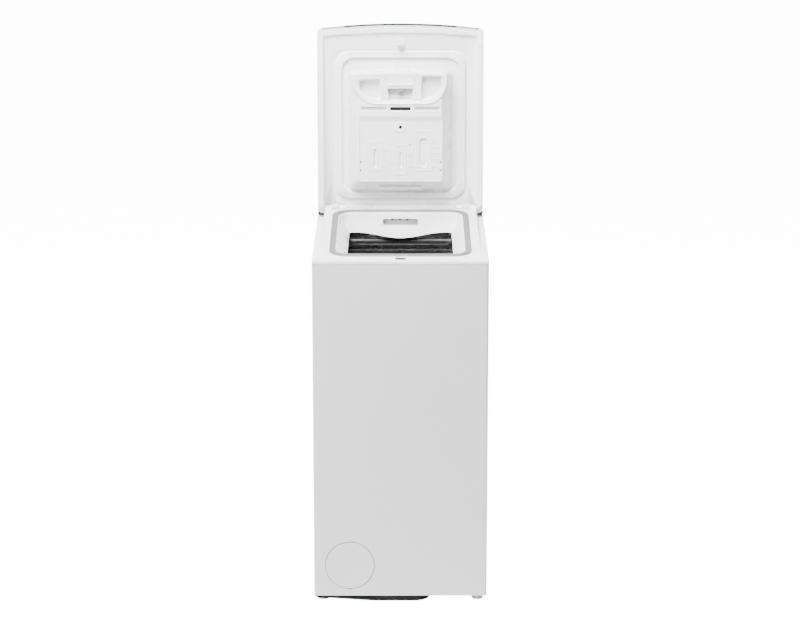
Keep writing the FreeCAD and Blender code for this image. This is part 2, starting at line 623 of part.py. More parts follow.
# ---- tub -----------------------------------------------------------------------------------
def whole_tub():
    r_out = TUB_R + TUB_WALL
    neck_r = THROAT_BOTTOM_R
    sump = box(-TUB_HALF - TUB_END, AXIS_Y - 45, 200, TUB_HALF + TUB_END, AXIS_Y + 45, 260)
    hub = rod(Vec(TUB_HALF, AXIS_Y, AXIS_Z), Vec(HUB_END, AXIS_Y, AXIS_Z), BEARING_R + 9)
    lugs = [box(TUB_HALF, y - 10, 556, SPRING_X + 9, y + 10, 568) for y in SPRING_YS]
    neck = rounded_prism(NECK_HALF + 3, NECK_HALF + 3, NECK_BACK_Y + 3, NECK_FRONT_Y - 3,
                         neck_r + 3, AXIS_Z + 120, NECK_TOP_Z)
    lip = rounded_prism(NECK_HALF + 12, NECK_HALF + 12, NECK_BACK_Y + 12, NECK_FRONT_Y - 12,
                        neck_r + 12, NECK_TOP_Z - 5, NECK_TOP_Z)
    seam = drum_cylinder(r_out + 8, -7, 7)
    mount = box(-40, MOTOR_Y - 50, MOTOR_Z + 40, -28, MOTOR_Y + 10, 320)
    mounts = [mount, mount.translated(Vec(70, 0, 0))]
    solid = fuse([drum_cylinder(r_out, -TUB_HALF - TUB_END, TUB_HALF + TUB_END), sump, seam, neck, lip,
                  hub, mirror_x(hub)] + lugs + [mirror_x(lug) for lug in lugs] + mounts)
    cuts = [drum_cylinder(TUB_R, -TUB_HALF, TUB_HALF),
            box(-TUB_HALF, AXIS_Y - 42, 203, TUB_HALF, AXIS_Y + 42, 265),
            rounded_prism(NECK_HALF, NECK_HALF, NECK_BACK_Y, NECK_FRONT_Y, neck_r,
                          AXIS_Z + 100, NECK_TOP_Z + 1),
            drum_cylinder(SHAFT_R + 0.6, -200, 200),
            drum_cylinder(BEARING_R, TUB_HALF + TUB_END + 2, HUB_END + 1),
            drum_cylinder(BEARING_R, -HUB_END - 1, -TUB_HALF - TUB_END - 2),
            rod(Vec(-200, MOTOR_Y, MOTOR_Z), Vec(200, MOTOR_Y, MOTOR_Z), MOTOR_R + 0.1),
            rod(Vec(-60, -75, 190), Vec(-60, -75, 210), 10.0)]
    cuts += [rod(Vec(120, AXIS_Y + dy, 222), Vec(160, AXIS_Y + dy, 222), 4.2) for dy in (-14, 14)]
    return solid.cut(Part.makeCompound(cuts))


def tub_halves():
    tub = whole_tub()
    left = tub.common(box(-210, -400, 0, -1, 400, 900))
    right = tub.common(box(1, -400, 0, 210, 400, 900))
    ring = whole_tub_section(tub)
    return left, right, ring


def whole_tub_section(tub):
    """The rubber seal squeezed between the two tub halves."""
    return tub.common(box(-0.98, -400, 0, 0.98, 400, 900))


def counterweights():
    rear = drum_sector(278, -110, 110, 48, 118).cut(drum_cylinder(TUB_R + TUB_WALL + 8.2, -120, 120))
    side = drum_sector(180, TUB_HALF + TUB_END + 0.2, 168, 190, 350)
    side = side.cut(drum_cylinder(56, 100, 200)).cut(box(100, -110, 180, 200, 20, 285))
    return Part.makeCompound([rear, side])


def drum_bearings():
    bearing = drum_cylinder(BEARING_R, TUB_HALF + TUB_END + 2, HUB_END)
    bearing = bearing.cut(drum_cylinder(SHAFT_R + SHAFT_CLEARANCE, 100, 200))
    return Part.makeCompound([bearing, mirror_x(bearing)])


def heater():
    z = 222.0
    legs = [rod(Vec(-90, AXIS_Y + dy, z), Vec(150, AXIS_Y + dy, z), 4.0) for dy in (-14, 14)]
    bend = rod(Vec(-90, AXIS_Y - 14, z), Vec(-90, AXIS_Y + 14, z), 4.0)
    ends = [Part.makeSphere(4.0, Vec(-90, AXIS_Y + dy, z)) for dy in (-14, 14)]
    flange = box(TUB_HALF + TUB_END, AXIS_Y - 26, z - 10, TUB_HALF + TUB_END + 4, AXIS_Y + 26, z + 10)
    return fuse(legs + [bend] + ends + [flange])


def motor():
    can = rod(Vec(-60, MOTOR_Y, MOTOR_Z), Vec(75, MOTOR_Y, MOTOR_Z), MOTOR_R)
    boss = rod(Vec(-78, MOTOR_Y, MOTOR_Z), Vec(-60, MOTOR_Y, MOTOR_Z), 20.0)
    block = box(75, MOTOR_Y - 22, MOTOR_Z - 20, 96, MOTOR_Y + 22, MOTOR_Z + 20)
    bore = rod(Vec(-80, MOTOR_Y, MOTOR_Z), Vec(-20, MOTOR_Y, MOTOR_Z), 6.0 + SHAFT_CLEARANCE)
    return fuse([can, boss, block]).cut(bore)


def motor_pulley():
    x0 = PULLEY_X - PULLEY_WIDTH / 2
    shaft = rod(Vec(-30, MOTOR_Y, MOTOR_Z), Vec(x0 - 2, MOTOR_Y, MOTOR_Z), 6.0)
    drive = rod(Vec(x0, MOTOR_Y, MOTOR_Z), Vec(x0 + PULLEY_WIDTH, MOTOR_Y, MOTOR_Z), MOTOR_PULLEY_R)
    return fuse([shaft, drive])


def drive_belt():
    """Flat belt: the band between the outlines of two wrapped circles."""
    big = Vec(0, AXIS_Y, AXIS_Z)
    small = Vec(0, MOTOR_Y, MOTOR_Z)
    gap = small - big
    lean = math.asin((PULLEY_R - MOTOR_PULLEY_R) / gap.Length)
    heading = math.atan2(gap.z, gap.y)

    def wrapped(grow):
        def touch(centre, radius, side):
            a = heading + side * (math.pi / 2 - lean)
            return Vec(0, centre.y + radius * math.cos(a), centre.z + radius * math.sin(a))
        r_big = PULLEY_R + grow
        r_small = MOTOR_PULLEY_R + grow
        corners = [touch(big, r_big, 1), touch(small, r_small, 1), touch(small, r_small, -1),
                   touch(big, r_big, -1)]
        band = Part.Face(Part.makePolygon(corners + corners[:1])).extrude(Vec(12, 0, 0))
        return fuse([band, rod(big, big + X_AXIS * 12, r_big), rod(small, small + X_AXIS * 12, r_small)])

    belt = wrapped(3.3).cut(wrapped(0.3))
    return belt.translated(Vec(PULLEY_X - 6, 0, 0))


# ---- drum ----------------------------------------------------------------------------------
def drum_shell():
    """Drum mantle with its loading opening and the two flap hinge pins."""
    mantle = drum_cylinder(DRUM_R, -DRUM_HALF, DRUM_HALF)
    mantle = mantle.cut(drum_cylinder(DRUM_R - DRUM_SHEET, -DRUM_HALF + DRUM_SHEET, DRUM_HALF - DRUM_SHEET))
    edge = FLAP_ANGLE + 1.5
    opening = drum_sector(DRUM_R + 5, -FLAP_HALF - 0.8, FLAP_HALF + 0.8, -edge, edge)
    mantle = mantle.cut(opening)
    pieces = [mantle]
    for side in (-1, 1):
        centre = drum_point(side * FLAP_ANGLE, FLAP_HINGE_R)
        pieces.append(rod(centre - X_AXIS * (FLAP_HALF + 6), centre + X_AXIS * (FLAP_HALF + 6), 1.5))
        for end in (-1, 1):
            block = box(-2.4, -5, -5, 2.4, 5, 3.0).translated(centre + X_AXIS * end * (FLAP_HALF + 3.6))
            pieces.append(block)
    return fuse(pieces)


def drum_flap(side):
    """One curved flap. side -1 is the front one, hinged on its front edge."""
    span = sorted((side * 0.15, side * (FLAP_ANGLE - 0.5)))
    sheet = drum_sector(DRUM_R, -FLAP_HALF, FLAP_HALF, span[0], span[1])
    sheet = sheet.cut(drum_cylinder(DRUM_R - DRUM_SHEET, -FLAP_HALF - 1, FLAP_HALF + 1))
    centre = drum_point(side * FLAP_ANGLE, FLAP_HINGE_R)
    barrel = rod(centre - X_AXIS * FLAP_HALF, centre + X_AXIS * FLAP_HALF, 3.0)
    ribs = []
    for x in (-70, 70):
        rib = drum_sector(DRUM_R - 0.5, x - 8, x + 8, *sorted((side * 2, side * (FLAP_ANGLE - 3))))
        ribs.append(rib.cut(drum_cylinder(DRUM_R - 5, x - 9, x + 9)))
    flap = fuse([sheet, barrel] + ribs)
    cuts = [rod(centre - X_AXIS * 120, centre + X_AXIS * 120, 1.5 + SHAFT_CLEARANCE)]
    if side < 0:
        cuts.append(rod(drum_point(-6, DRUM_R - 12), drum_point(-6, DRUM_R + 4), 9.4))
    return flap.cut(Part.makeCompound(cuts))


def flap_button():
    head = rod(drum_point(-6, DRUM_R - 4.5), drum_point(-6, DRUM_R + 2.5), 9.0)
    catch = rod(drum_point(-6, DRUM_R - 7.0), drum_point(-6, DRUM_R - 4.5), 11.0)
    return fuse([head, catch])


def drum_lifters():
    lifters = []
    for angle in (90, 180, 270):
        outline = [(-26, 0), (-8, 34), (8, 34), (26, 0)]
        r = DRUM_R - DRUM_SHEET - 2.0
        points = []
        for across, up in outline:
            a = math.radians(angle)
            radial = r - up
            points.append((AXIS_Y + radial * math.sin(a) + across * math.cos(a),
                           AXIS_Z + radial * math.cos(a) - across * math.sin(a)))
        lifters.append(side_prism(points, -118, 118))
    return Part.makeCompound(lifters)


def drum_shafts():
    right = fuse([drum_cylinder(62, DRUM_HALF, DRUM_HALF + 5),
                  drum_cylinder(SHAFT_R, DRUM_HALF, HUB_END + 1)])
    left_end = PULLEY_X - PULLEY_WIDTH / 2 - 3
    left = fuse([drum_cylinder(62, -DRUM_HALF - 5, -DRUM_HALF),
                 drum_cylinder(SHAFT_R, left_end, -DRUM_HALF)])
    return Part.makeCompound([left, right])


def drum_pulley():
    x0 = PULLEY_X - PULLEY_WIDTH / 2
    x1 = PULLEY_X + PULLEY_WIDTH / 2
    rim = drum_cylinder(PULLEY_R, x0, x1).cut(drum_cylinder(PULLEY_R - 8, x0 - 1, x1 + 1))
    hub = drum_cylinder(30, x0, x1)
    spokes = []
    for i in range(6):
        spoke = box(x0 + 4, AXIS_Y - 7, AXIS_Z + 20, x1 - 4, AXIS_Y + 7, AXIS_Z + PULLEY_R - 4)
        spoke.rotate(Vec(0, AXIS_Y, AXIS_Z), X_AXIS, 60 * i)
        spokes.append(spoke)
    return fuse([rim, hub] + spokes).cut(drum_cylinder(SHAFT_R, x0 - 1, x1 + 1))


# ---- lid -----------------------------------------------------------------------------------
def lid_profile(margin, x_half):
    """Side outline of the lid: rims along the shoulders, a sloped back edge at the hinge."""
    v_end = LID_LENGTH + 10
    points = [(0 - 4 + margin, rim_w(0) + 3), (0, rim_w(0)), (v_end, rim_w(v_end)),
              (v_end, LID_OUTER_W - margin),
              (40, LID_OUTER_W - margin), (-5 + margin, 9 - margin)]
    return lid_prism(points, -x_half, x_half)


def lid_outer_shell():
    """Painted lid cover with its side walls, hinge barrels and pivot pins."""
    body = lid_plan(0.0, -8, -30, 60).common(lid_profile(0.0, LID_HALF))
    hollow = lid_plan(SHELL, 3, -40, LID_OUTER_W - SHELL)
    slope_cut = lid_prism([(-60, -60), (-60, -52.5), (40.5, LID_OUTER_W - SHELL), (500, LID_OUTER_W - SHELL),
                           (500, -60)], -LID_HALF - 5, LID_HALF + 5)
    body = body.cut(hollow.common(slope_cut))
    barrel = rod(lid_point(LID_RIM_INNER, 0, 0), lid_point(LID_HALF, 0, 0), BARREL_R)
    web = lid_box(LID_RIM_INNER, 0, -8, LID_HALF, 10, 8)
    pin = rod(lid_point(PLATEAU_HALF - 14.5, 0, 0), lid_point(LID_RIM_INNER + 1, 0, 0), PIN_R)
    lug_room = lid_box(-LID_RIM_INNER + 0.5, -20, -30, LID_RIM_INNER - 0.5, 11.5, 12)
    body = body.cut(lug_room)
    return fuse([body, barrel, web, pin, mirror_x(barrel), mirror_x(web), mirror_x(pin)])


def lid_inner_panel():
    """Moulded inner liner: rims, channel, sealing ridge and the field for the dispenser."""
    edge = SHELL + 0.1
    field = lid_plan(edge, 14, LID_PANEL_W, LID_PANEL_W + 2.7)
    ridge = lid_ring(159.5, 26.5, 390.0, 17.0, 30.0, 12.8, LID_PANEL_W + 0.1)
    top_rim = lid_plan(edge, 423, 11.0, LID_PANEL_W + 1)
    x0 = LID_RIM_INNER
    x1 = LID_HALF - edge
    v0 = 14.0
    v1 = 424.0
    under = LID_PANEL_W + 2.7
    rim_out = lid_prism([(v0, rim_w(v0)), (v1, rim_w(v1)), (v1, under), (v0, under)], x0, x1)
    rim_in = lid_prism([(v0 + 2, rim_w(v0) + 2.2), (v1 - 2, rim_w(v1) + 2.2), (v1 - 2, 40), (v0 + 2, 40)],
                       x0 + 2.2, x1 - 2.2)
    rim = rim_out.cut(rim_in)
    return fuse([field.cut(rim_in).cut(mirror_x(rim_in)), ridge, top_rim, rim, mirror_x(rim)])


def lid_grip_strip():
    """Soft dark strip let into the front edge of the lid."""
    outer = lid_plan(-0.7, 300, 20, 38)
    inner = lid_plan(0.0, 290, 10, 48)
    return outer.cut(inner).common(lid_box(-134, 430, 10, 134, 460, 60))


def lid_latch_hook():
    stem = lid_box(-8, 404, -5, 8, 408, LID_PANEL_W)
    nose = lid_box(-8, 408, -5, 8, 412, -1)
    return fuse([stem, nose])


# ---- detergent dispenser -------------------------------------------------------------------
def dispenser_block(grow, w_back, w_face):
    """Tapered block: wide at the lid, narrower at its face."""
    def frame(half, low, high, w):
        pts = [lid_point(-half, low, w), lid_point(half, low, w), lid_point(half, high, w),
               lid_point(-half, high, w)]
        return Part.makePolygon(pts + pts[:1])
    back = frame(124 + grow, DISPENSER_V0 - grow, DISPENSER_V1 + grow, w_back)
    face = frame(101 + grow, DISPENSER_V0 + 22 - grow, DISPENSER_V1 - 12 + grow, w_face)
    return Part.makeLoft([back, face], True, True)


def pocket_boxes(w0, w1):
    """The two powder mouths and the grey latch pocket between them."""
    left = lid_box(-96, 266, w0, -48, 316, w1)
    right = lid_box(48, 266, w0, 96, 316, w1)
    middle = lid_box(-31, 266, w0, 31, 296, w1)
    return left, right, middle


def dispenser_tray():
    outer = dispenser_block(0.0, DISPENSER_BACK_W, DISPENSER_FACE_W)
    inner = dispenser_block(-SHELL, DISPENSER_BACK_W - SHELL, DISPENSER_FACE_W - 0.5)
    v0, v1 = DISPENSER_V0 + 20, DISPENSER_V1 - 8
    walls = [lid_box(x - 1.2, v0, DISPENSER_FACE_W, x + 1.2, v1, DISPENSER_BACK_W - 1)
             for x in (-40, 40)]
    pocket = lid_box(-38.8, 262, -14, 38.8, 264, DISPENSER_BACK_W - 1)
    pocket_back = lid_box(-38.8, 262, -14, 38.8, 300, -12)
    inside = fuse(walls + [pocket, pocket_back]).common(outer)
    return fuse([outer.cut(inner), inside])


def dispenser_cover():
    """Face plate with the powder mouths, level windows and slots."""
    v0, v1 = DISPENSER_V0 + 22, DISPENSER_V1 - 12
    plate = lid_box(-101, v0, DISPENSER_FACE_W - 3, 101, v1, DISPENSER_FACE_W - 0.1)
    corners = [e for e in plate.Edges if abs(e.tangentAt(e.FirstParameter).y) > 0.99]
    plate = plate.makeFillet(10.0, corners)
    cuts = list(pocket_boxes(-60, 0))
    windows = ((-65, 104, -56, 148), (-4, 104, 4, 148), (45, 104, 66, 175))
    cuts += [lid_box(x0, v0, -60, x1, v1, 0) for x0, v0, x1, v1 in windows]
    cuts += [lid_box(x0, 241, -60, x1, 250, 0) for x0, x1 in ((-94, -33), (-25, 25), (33, 94))]
    return plate.cut(Part.makeCompound(cuts))


def dispenser_release_button():
    return fuse([lid_box(-7, 284, -29, 7, 292, -14.2), lid_box(-5, 272, -18, 5, 292, -14.2)])


# ---- trolley and feet ----------------------------------------------------------------------
def trolley_lever():
    """Black lever under the front edge; it swings out to lower the castors."""
    z0 = 1.6
    z1 = 13.4
    hub = rod(Vec(LEVER_X, LEVER_Y, z0), Vec(LEVER_X, LEVER_Y, z1), LEVER_HUB_R)
    arm_outline = [(-197, z1 - 3), (-64, z0), (LEVER_X, z0), (LEVER_X, z1), (-197, z1)]
    corners = [Vec(x, FRONT + 1, z) for x, z in arm_outline]
    arm = Part.Face(Part.makePolygon(corners + corners[:1])).extrude(Vec(0, 12.5, 0))
    brace = box(-64, FRONT + 1, z0, LEVER_X, FRONT + 26, z1)
    stem = rod(Vec(LEVER_X, LEVER_Y, z1), Vec(LEVER_X, LEVER_Y, 52), 8.0)
    cam = rod(Vec(LEVER_X, LEVER_Y, 45), Vec(LEVER_X, LEVER_Y, 52), 18.0)
    return fuse([hub, arm, brace, stem, cam])


def castor_carriage():
    bar = box(-126, CASTOR_Y - 12, 40, 126, CASTOR_Y + 12, 44)
    cheeks = []
    for side in (-1, 1):
        for dx in (-13.0, 10.5):
            x = side * CASTOR_X + dx
            cheek = box(x, CASTOR_Y - 10, CASTOR_Z - 7, x + 2.5, CASTOR_Y + 10, 41)
            cheeks.append(cheek)
    hole = rod(Vec(-140, CASTOR_Y, CASTOR_Z), Vec(140, CASTOR_Y, CASTOR_Z), 3.0 + SHAFT_CLEARANCE)
    return fuse([bar] + cheeks).cut(hole)


def castor_wheels():
    axle = rod(Vec(-126, CASTOR_Y, CASTOR_Z), Vec(126, CASTOR_Y, CASTOR_Z), 3.0)
    wheels = []
    for side in (-1, 1):
        x = side * CASTOR_X
        tread = rod(Vec(x - 9, CASTOR_Y, CASTOR_Z), Vec(x + 9, CASTOR_Y, CASTOR_Z), CASTOR_R)
        wheels.append(tread)
    return fuse([axle] + wheels)


def foot_pad(side):
    pad = Part.makeCone(FOOT_R, FOOT_R - 1.5, 9.0, Vec(side * FOOT_X, FOOT_Y, 0), Z_AXIS)
    socket = rod(Vec(side * FOOT_X, FOOT_Y, 4), Vec(side * FOOT_X, FOOT_Y, 12), 6.0 + SHAFT_CLEARANCE)
    return pad.cut(socket)


def foot_screw(side):
    x = side * FOOT_X
    ball = rod(Vec(x, FOOT_Y, 4.1), Vec(x, FOOT_Y, 9.5), 6.0)
    nut = rod(Vec(x, FOOT_Y, 9.5), Vec(x, FOOT_Y, 13.5), 9.0)
    stud = rod(Vec(x, FOOT_Y, 13.5), Vec(x, FOOT_Y, 46), 5.0)
    return fuse([ball, nut, stud])


# ---- write every sub-part ------------------------------------------------------------------
def main():
    os.makedirs("parts", exist_ok=True)
    tub_left, tub_right, seam = tub_halves()
    side = side_panel()
    parts = {
        "side_panel_right": side, "side_panel_left": mirror_x(side), "front_panel": front_panel(),
        "rear_panel": rear_panel(), "panel_screws": panel_screws(), "base_tray": base_tray(),
        "top_frame": top_frame(), "lid_gasket": lid_gasket(), "throat": throat(), "bellows": bellows(),
        "console_housing": console_housing(), "display_window": display_window(),
        "program_knob": program_knob(), "start_button": push_button(130.0, 64.0),
        "option_button": push_button(62.0, 92.0), "control_board": control_board(), "lid_lock": lid_lock(),
        "water_inlet_valve": water_inlet_valve(), "fill_hose": fill_hose(),
        "filter_housing": filter_housing(), "pump_filter_cap": pump_filter_cap(),
        "drain_pump": drain_pump(), "sump_hose": sump_hose(), "drain_hose": drain_hose(),
        "power_inlet": power_inlet(), "filter_cover": filter_cover(),
        "suspension_rails": suspension_rails(), "suspension_springs": suspension_springs(),
        "damper_cylinders": damper_cylinders(), "damper_rods": damper_rods(),
        "tub_left_half": tub_left, "tub_right_half": tub_right, "tub_seam_gasket": seam,
        "counterweights": counterweights(), "drum_bearings": drum_bearings(), "heater": heater(),
        "motor": motor(), "motor_pulley": motor_pulley(), "drive_belt": drive_belt(),
        "drum_shell": drum_shell(), "drum_flap_front": drum_flap(-1), "drum_flap_rear": drum_flap(1),
        "flap_button": flap_button(), "drum_lifters": drum_lifters(), "drum_shafts": drum_shafts(),
        "drum_pulley": drum_pulley(), "lid_outer_shell": lid_outer_shell(),
        "lid_inner_panel": lid_inner_panel(), "lid_grip_strip": lid_grip_strip(),
        "lid_latch_hook": lid_latch_hook(), "dispenser_tray": dispenser_tray(),
        "dispenser_cover": dispenser_cover(), "dispenser_release_button": dispenser_release_button(),
        "trolley_lever": trolley_lever(), "castor_carriage": castor_carriage(),
        "castor_wheels": castor_wheels(),
        "foot_pad_left": foot_pad(-1), "foot_pad_right": foot_pad(1),
        "foot_screw_left": foot_screw(-1), "foot_screw_right": foot_screw(1),
    }
    for name, shape in parts.items():
        save(name, shape)
    print(len(parts), "sub-parts")


main()
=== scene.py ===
# %% [markdown]
# # A top loading washing machine, dressed for its portrait
# The engineering model gives every part its place and size, with +Z up and the front towards
# -Y. This lesson loads it as a fixed frame, then gives each part its real surface. Parts whose
# shape is already right keep it and get rounded edges and a finish. The moulded parts that the
# eye rests on are modelled again in full detail, within a centimetre of their place in the frame.

# %% Load the frame
import json
import math

import bmesh
import bpy
from mathutils import Matrix, Vector


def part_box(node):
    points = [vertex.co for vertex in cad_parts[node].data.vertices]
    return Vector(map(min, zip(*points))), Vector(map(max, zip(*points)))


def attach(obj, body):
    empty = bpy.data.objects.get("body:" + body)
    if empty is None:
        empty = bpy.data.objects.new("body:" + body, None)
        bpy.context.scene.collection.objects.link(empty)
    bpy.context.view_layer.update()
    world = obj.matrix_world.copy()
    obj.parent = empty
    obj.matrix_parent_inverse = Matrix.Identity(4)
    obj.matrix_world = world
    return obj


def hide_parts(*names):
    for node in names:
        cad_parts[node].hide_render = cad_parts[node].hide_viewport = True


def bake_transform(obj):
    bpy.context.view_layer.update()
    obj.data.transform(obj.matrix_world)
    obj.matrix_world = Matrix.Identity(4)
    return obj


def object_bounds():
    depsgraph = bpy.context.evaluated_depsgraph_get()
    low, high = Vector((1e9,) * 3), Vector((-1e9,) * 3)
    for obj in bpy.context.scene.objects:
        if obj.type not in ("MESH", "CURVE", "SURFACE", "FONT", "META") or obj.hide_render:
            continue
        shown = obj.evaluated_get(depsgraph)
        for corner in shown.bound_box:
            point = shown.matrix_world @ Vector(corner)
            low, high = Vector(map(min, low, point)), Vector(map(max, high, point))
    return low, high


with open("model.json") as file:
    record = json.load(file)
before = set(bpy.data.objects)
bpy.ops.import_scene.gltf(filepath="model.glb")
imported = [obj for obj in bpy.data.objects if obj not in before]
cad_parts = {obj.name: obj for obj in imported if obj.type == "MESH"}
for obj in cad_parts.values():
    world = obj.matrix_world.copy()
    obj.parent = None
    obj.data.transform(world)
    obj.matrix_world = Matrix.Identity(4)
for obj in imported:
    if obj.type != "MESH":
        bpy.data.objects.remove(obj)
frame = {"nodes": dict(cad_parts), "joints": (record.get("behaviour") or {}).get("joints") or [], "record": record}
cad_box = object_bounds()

MM = 0.001
low, high = cad_box
record = frame["record"]
joint_place = {j["name"]: Vector(j.get("pos_m", (0, 0, 0))) / MM for j in frame["joints"]}
slot_of = {part["node"]: part["material_slot"] for part in record["subparts"]}
body_of = {node: body for body, nodes in record["behaviour"]["bodies"].items() for node in nodes}
print("machine", [round(side / MM) for side in high - low], "mm,", len(slot_of), "parts")

# %% [markdown]
# ## Camera
# The machine is seen from the front and from a little above its raised lid, through a long
# lens, so its sides nearly close up. The camera stands 5.4 m away and tilts down. A small
# vertical shift centres the machine in the view without tilting the camera any further.

# %% Place the camera
CAMERA_DISTANCE = 5.4
CAMERA_HEIGHT = 1.907
CAMERA_PITCH = 0.212

camera_data = bpy.data.cameras.new("portrait_camera")
camera_data.lens = 110.1
camera_data.sensor_width = 36.0
camera_data.shift_y = -0.04
camera_data.clip_end = 60.0
camera = bpy.data.objects.new("portrait_camera", camera_data)
camera.location = (-1.0 * MM, low.y - CAMERA_DISTANCE, CAMERA_HEIGHT)
camera.rotation_euler = (math.pi / 2 - CAMERA_PITCH, 0.0, 0.0)
bpy.context.scene.collection.objects.link(camera)
bpy.context.scene.camera = camera
print("camera stands", round(-camera.location.y, 2), "m in front of the middle")

# %% [markdown]
# ## Floor and light
# White goods are shown on a pale sweep that has lamps of its own, so that it comes out
# almost white behind the machine. The floor does the same with a glow that only the camera
# sees: if the machine saw it too, it would be lit from below. Big soft area lights above,
# behind and at both sides shape the machine, and the world colour fills its shadows.

# %% Floor
FLOOR_SIZE = 60.0
FLOOR_GLOW = 14.0


def stage_floor():
    bm = bmesh.new()
    bmesh.ops.create_grid(bm, x_segments=1, y_segments=1, size=FLOOR_SIZE / 2)
    mesh = bpy.data.meshes.new("floor")
    bm.to_mesh(mesh)
    bm.free()
    material = bpy.data.materials.new("floor_paint")
    material.use_nodes = True
    tree = material.node_tree
    paint = tree.nodes["Principled BSDF"]
    paint.inputs["Base Color"].default_value = (0.93, 0.93, 0.93, 1.0)
    paint.inputs["Roughness"].default_value = 0.8
    glow = tree.nodes.new("ShaderNodeEmission")
    glow.inputs["Strength"].default_value = FLOOR_GLOW
    both = tree.nodes.new("ShaderNodeAddShader")
    seen = tree.nodes.new("ShaderNodeMixShader")
    rays = tree.nodes.new("ShaderNodeLightPath")
    tree.links.new(paint.outputs[0], both.inputs[0])
    tree.links.new(glow.outputs[0], both.inputs[1])
    tree.links.new(rays.outputs["Is Camera Ray"], seen.inputs[0])
    tree.links.new(paint.outputs[0], seen.inputs[1])
    tree.links.new(both.outputs[0], seen.inputs[2])
    tree.links.new(seen.outputs[0], tree.nodes["Material Output"].inputs["Surface"])
    mesh.materials.append(material)
    floor = bpy.data.objects.new("floor", mesh)
    bpy.context.scene.collection.objects.link(floor)
    return floor


print("floor", stage_floor().dimensions[0], "m wide")

# %% Lights
def soft_light(name, place, aim, size, power):
    data = bpy.data.lights.new(name, "AREA")
    data.shape = "RECTANGLE"
    data.size, data.size_y = size
    data.energy = power
    lamp = bpy.data.objects.new(name, data)
    lamp.location = place
    lamp.rotation_euler = (Vector(aim) - Vector(place)).to_track_quat("-Z", "Y").to_euler()
    bpy.context.scene.collection.objects.link(lamp)
    return lamp


soft_light("overhead_bank", (-0.4, -1.0, 3.0), (0.0, 0.0, 0.9), (1.6, 1.2), 330.0)
soft_light("left_bank", (-2.6, -2.6, 2.1), (0.0, 0.0, 0.7), (1.6, 2.4), 150.0)
soft_light("right_bank", (2.8, -1.8, 1.8), (0.0, 0.0, 0.7), (1.2, 2.2), 12.0)
soft_light("rear_bank", (0.6, 3.2, 2.4), (0.0, 0.0, 0.7), (2.4, 1.6), 70.0)
world = bpy.data.worlds.new("studio")
world.use_nodes = True
surround = world.node_tree.nodes["Background"]
surround.inputs["Color"].default_value = (0.96, 0.98, 1.0, 1.0)
surround.inputs["Strength"].default_value = 0.16
bpy.context.scene.world = world

# %% [markdown]
# ## Finishes
# Every surface is a small node graph on Object coordinates, because all the pieces sit at the
# origin and so share one space in metres. Each graph says three things: how the colour drifts,
# how the roughness drifts, and how the surface is grained. A helper turns a size in
# millimetres into the scale that a Noise node wants, which is one over that size in metres.

# %% Node helpers
def start_graph(name, colour, rough, metal=0.0):
    material = bpy.data.materials.new(name)
    material.use_nodes = True
    tree = material.node_tree
    shader = tree.nodes["Principled BSDF"]
    shader.inputs["Base Color"].default_value = (*colour, 1.0)
    shader.inputs["Roughness"].default_value = rough
    shader.inputs["Metallic"].default_value = metal
    return material, tree, shader


def placed(tree, stretch=(1.0, 1.0, 1.0), turn=(0.0, 0.0, 0.0)):
    coordinates = tree.nodes.new("ShaderNodeTexCoord")
    mapping = tree.nodes.new("ShaderNodeMapping")
    mapping.inputs["Scale"].default_value = stretch
    mapping.inputs["Rotation"].default_value = turn
    tree.links.new(coordinates.outputs["Object"], mapping.inputs["Vector"])
    return mapping.outputs["Vector"]


def noise(tree, size, detail=2.0, stretch=(1.0, 1.0, 1.0)):
    node = tree.nodes.new("ShaderNodeTexNoise")
    node.inputs["Scale"].default_value = 1.0 / (size * MM)
    node.inputs["Detail"].default_value = detail
    tree.links.new(placed(tree, stretch), node.inputs["Vector"])
    return node.outputs["Fac"]


def spread(tree, value, start, end, to_low=0.0, to_high=1.0):
    node = tree.nodes.new("ShaderNodeMapRange")
    node.inputs["From Min"].default_value = start
    node.inputs["From Max"].default_value = end
    node.inputs["To Min"].default_value = to_low
    node.inputs["To Max"].default_value = to_high
    tree.links.new(value, node.inputs["Value"])
    return node.outputs["Result"]


def two_tones(tree, factor, first, second):
    node = tree.nodes.new("ShaderNodeMix")
    node.data_type = "RGBA"
    for socket in node.inputs:
        if socket.identifier == "A_Color":
            socket.default_value = (*first, 1.0)
        if socket.identifier == "B_Color":
            socket.default_value = (*second, 1.0)
    tree.links.new(factor, node.inputs["Factor"])
    return [socket for socket in node.outputs if socket.identifier == "Result_Color"][0]


def emboss(tree, shader, heights, strength, depth):
    """Chains bump nodes, so that a coarse relief can carry a finer one."""
    normal = None
    for height in heights:
        bump = tree.nodes.new("ShaderNodeBump")
        bump.inputs["Strength"].default_value = strength
        bump.inputs["Distance"].default_value = depth * MM
        tree.links.new(height, bump.inputs["Height"])
        if normal:
            tree.links.new(normal, bump.inputs["Normal"])
        normal = bump.outputs["Normal"]
    tree.links.new(normal, shader.inputs["Normal"])


def shade(colour, amount):
    return tuple(min(1.0, channel * amount) for channel in colour)


# %% [markdown]
# ### Moulded plastic, paint and rubber
# These differ in colour, gloss and grain, but they are built alike: the colour drifts over a
# hand's width, by under a percent on white parts and more on most others, the gloss drifts
# a little, and the skin has either the long soft waves of sprayed enamel or the fine spark
# erosion grain of a tool. One function with a few sizes makes them all.

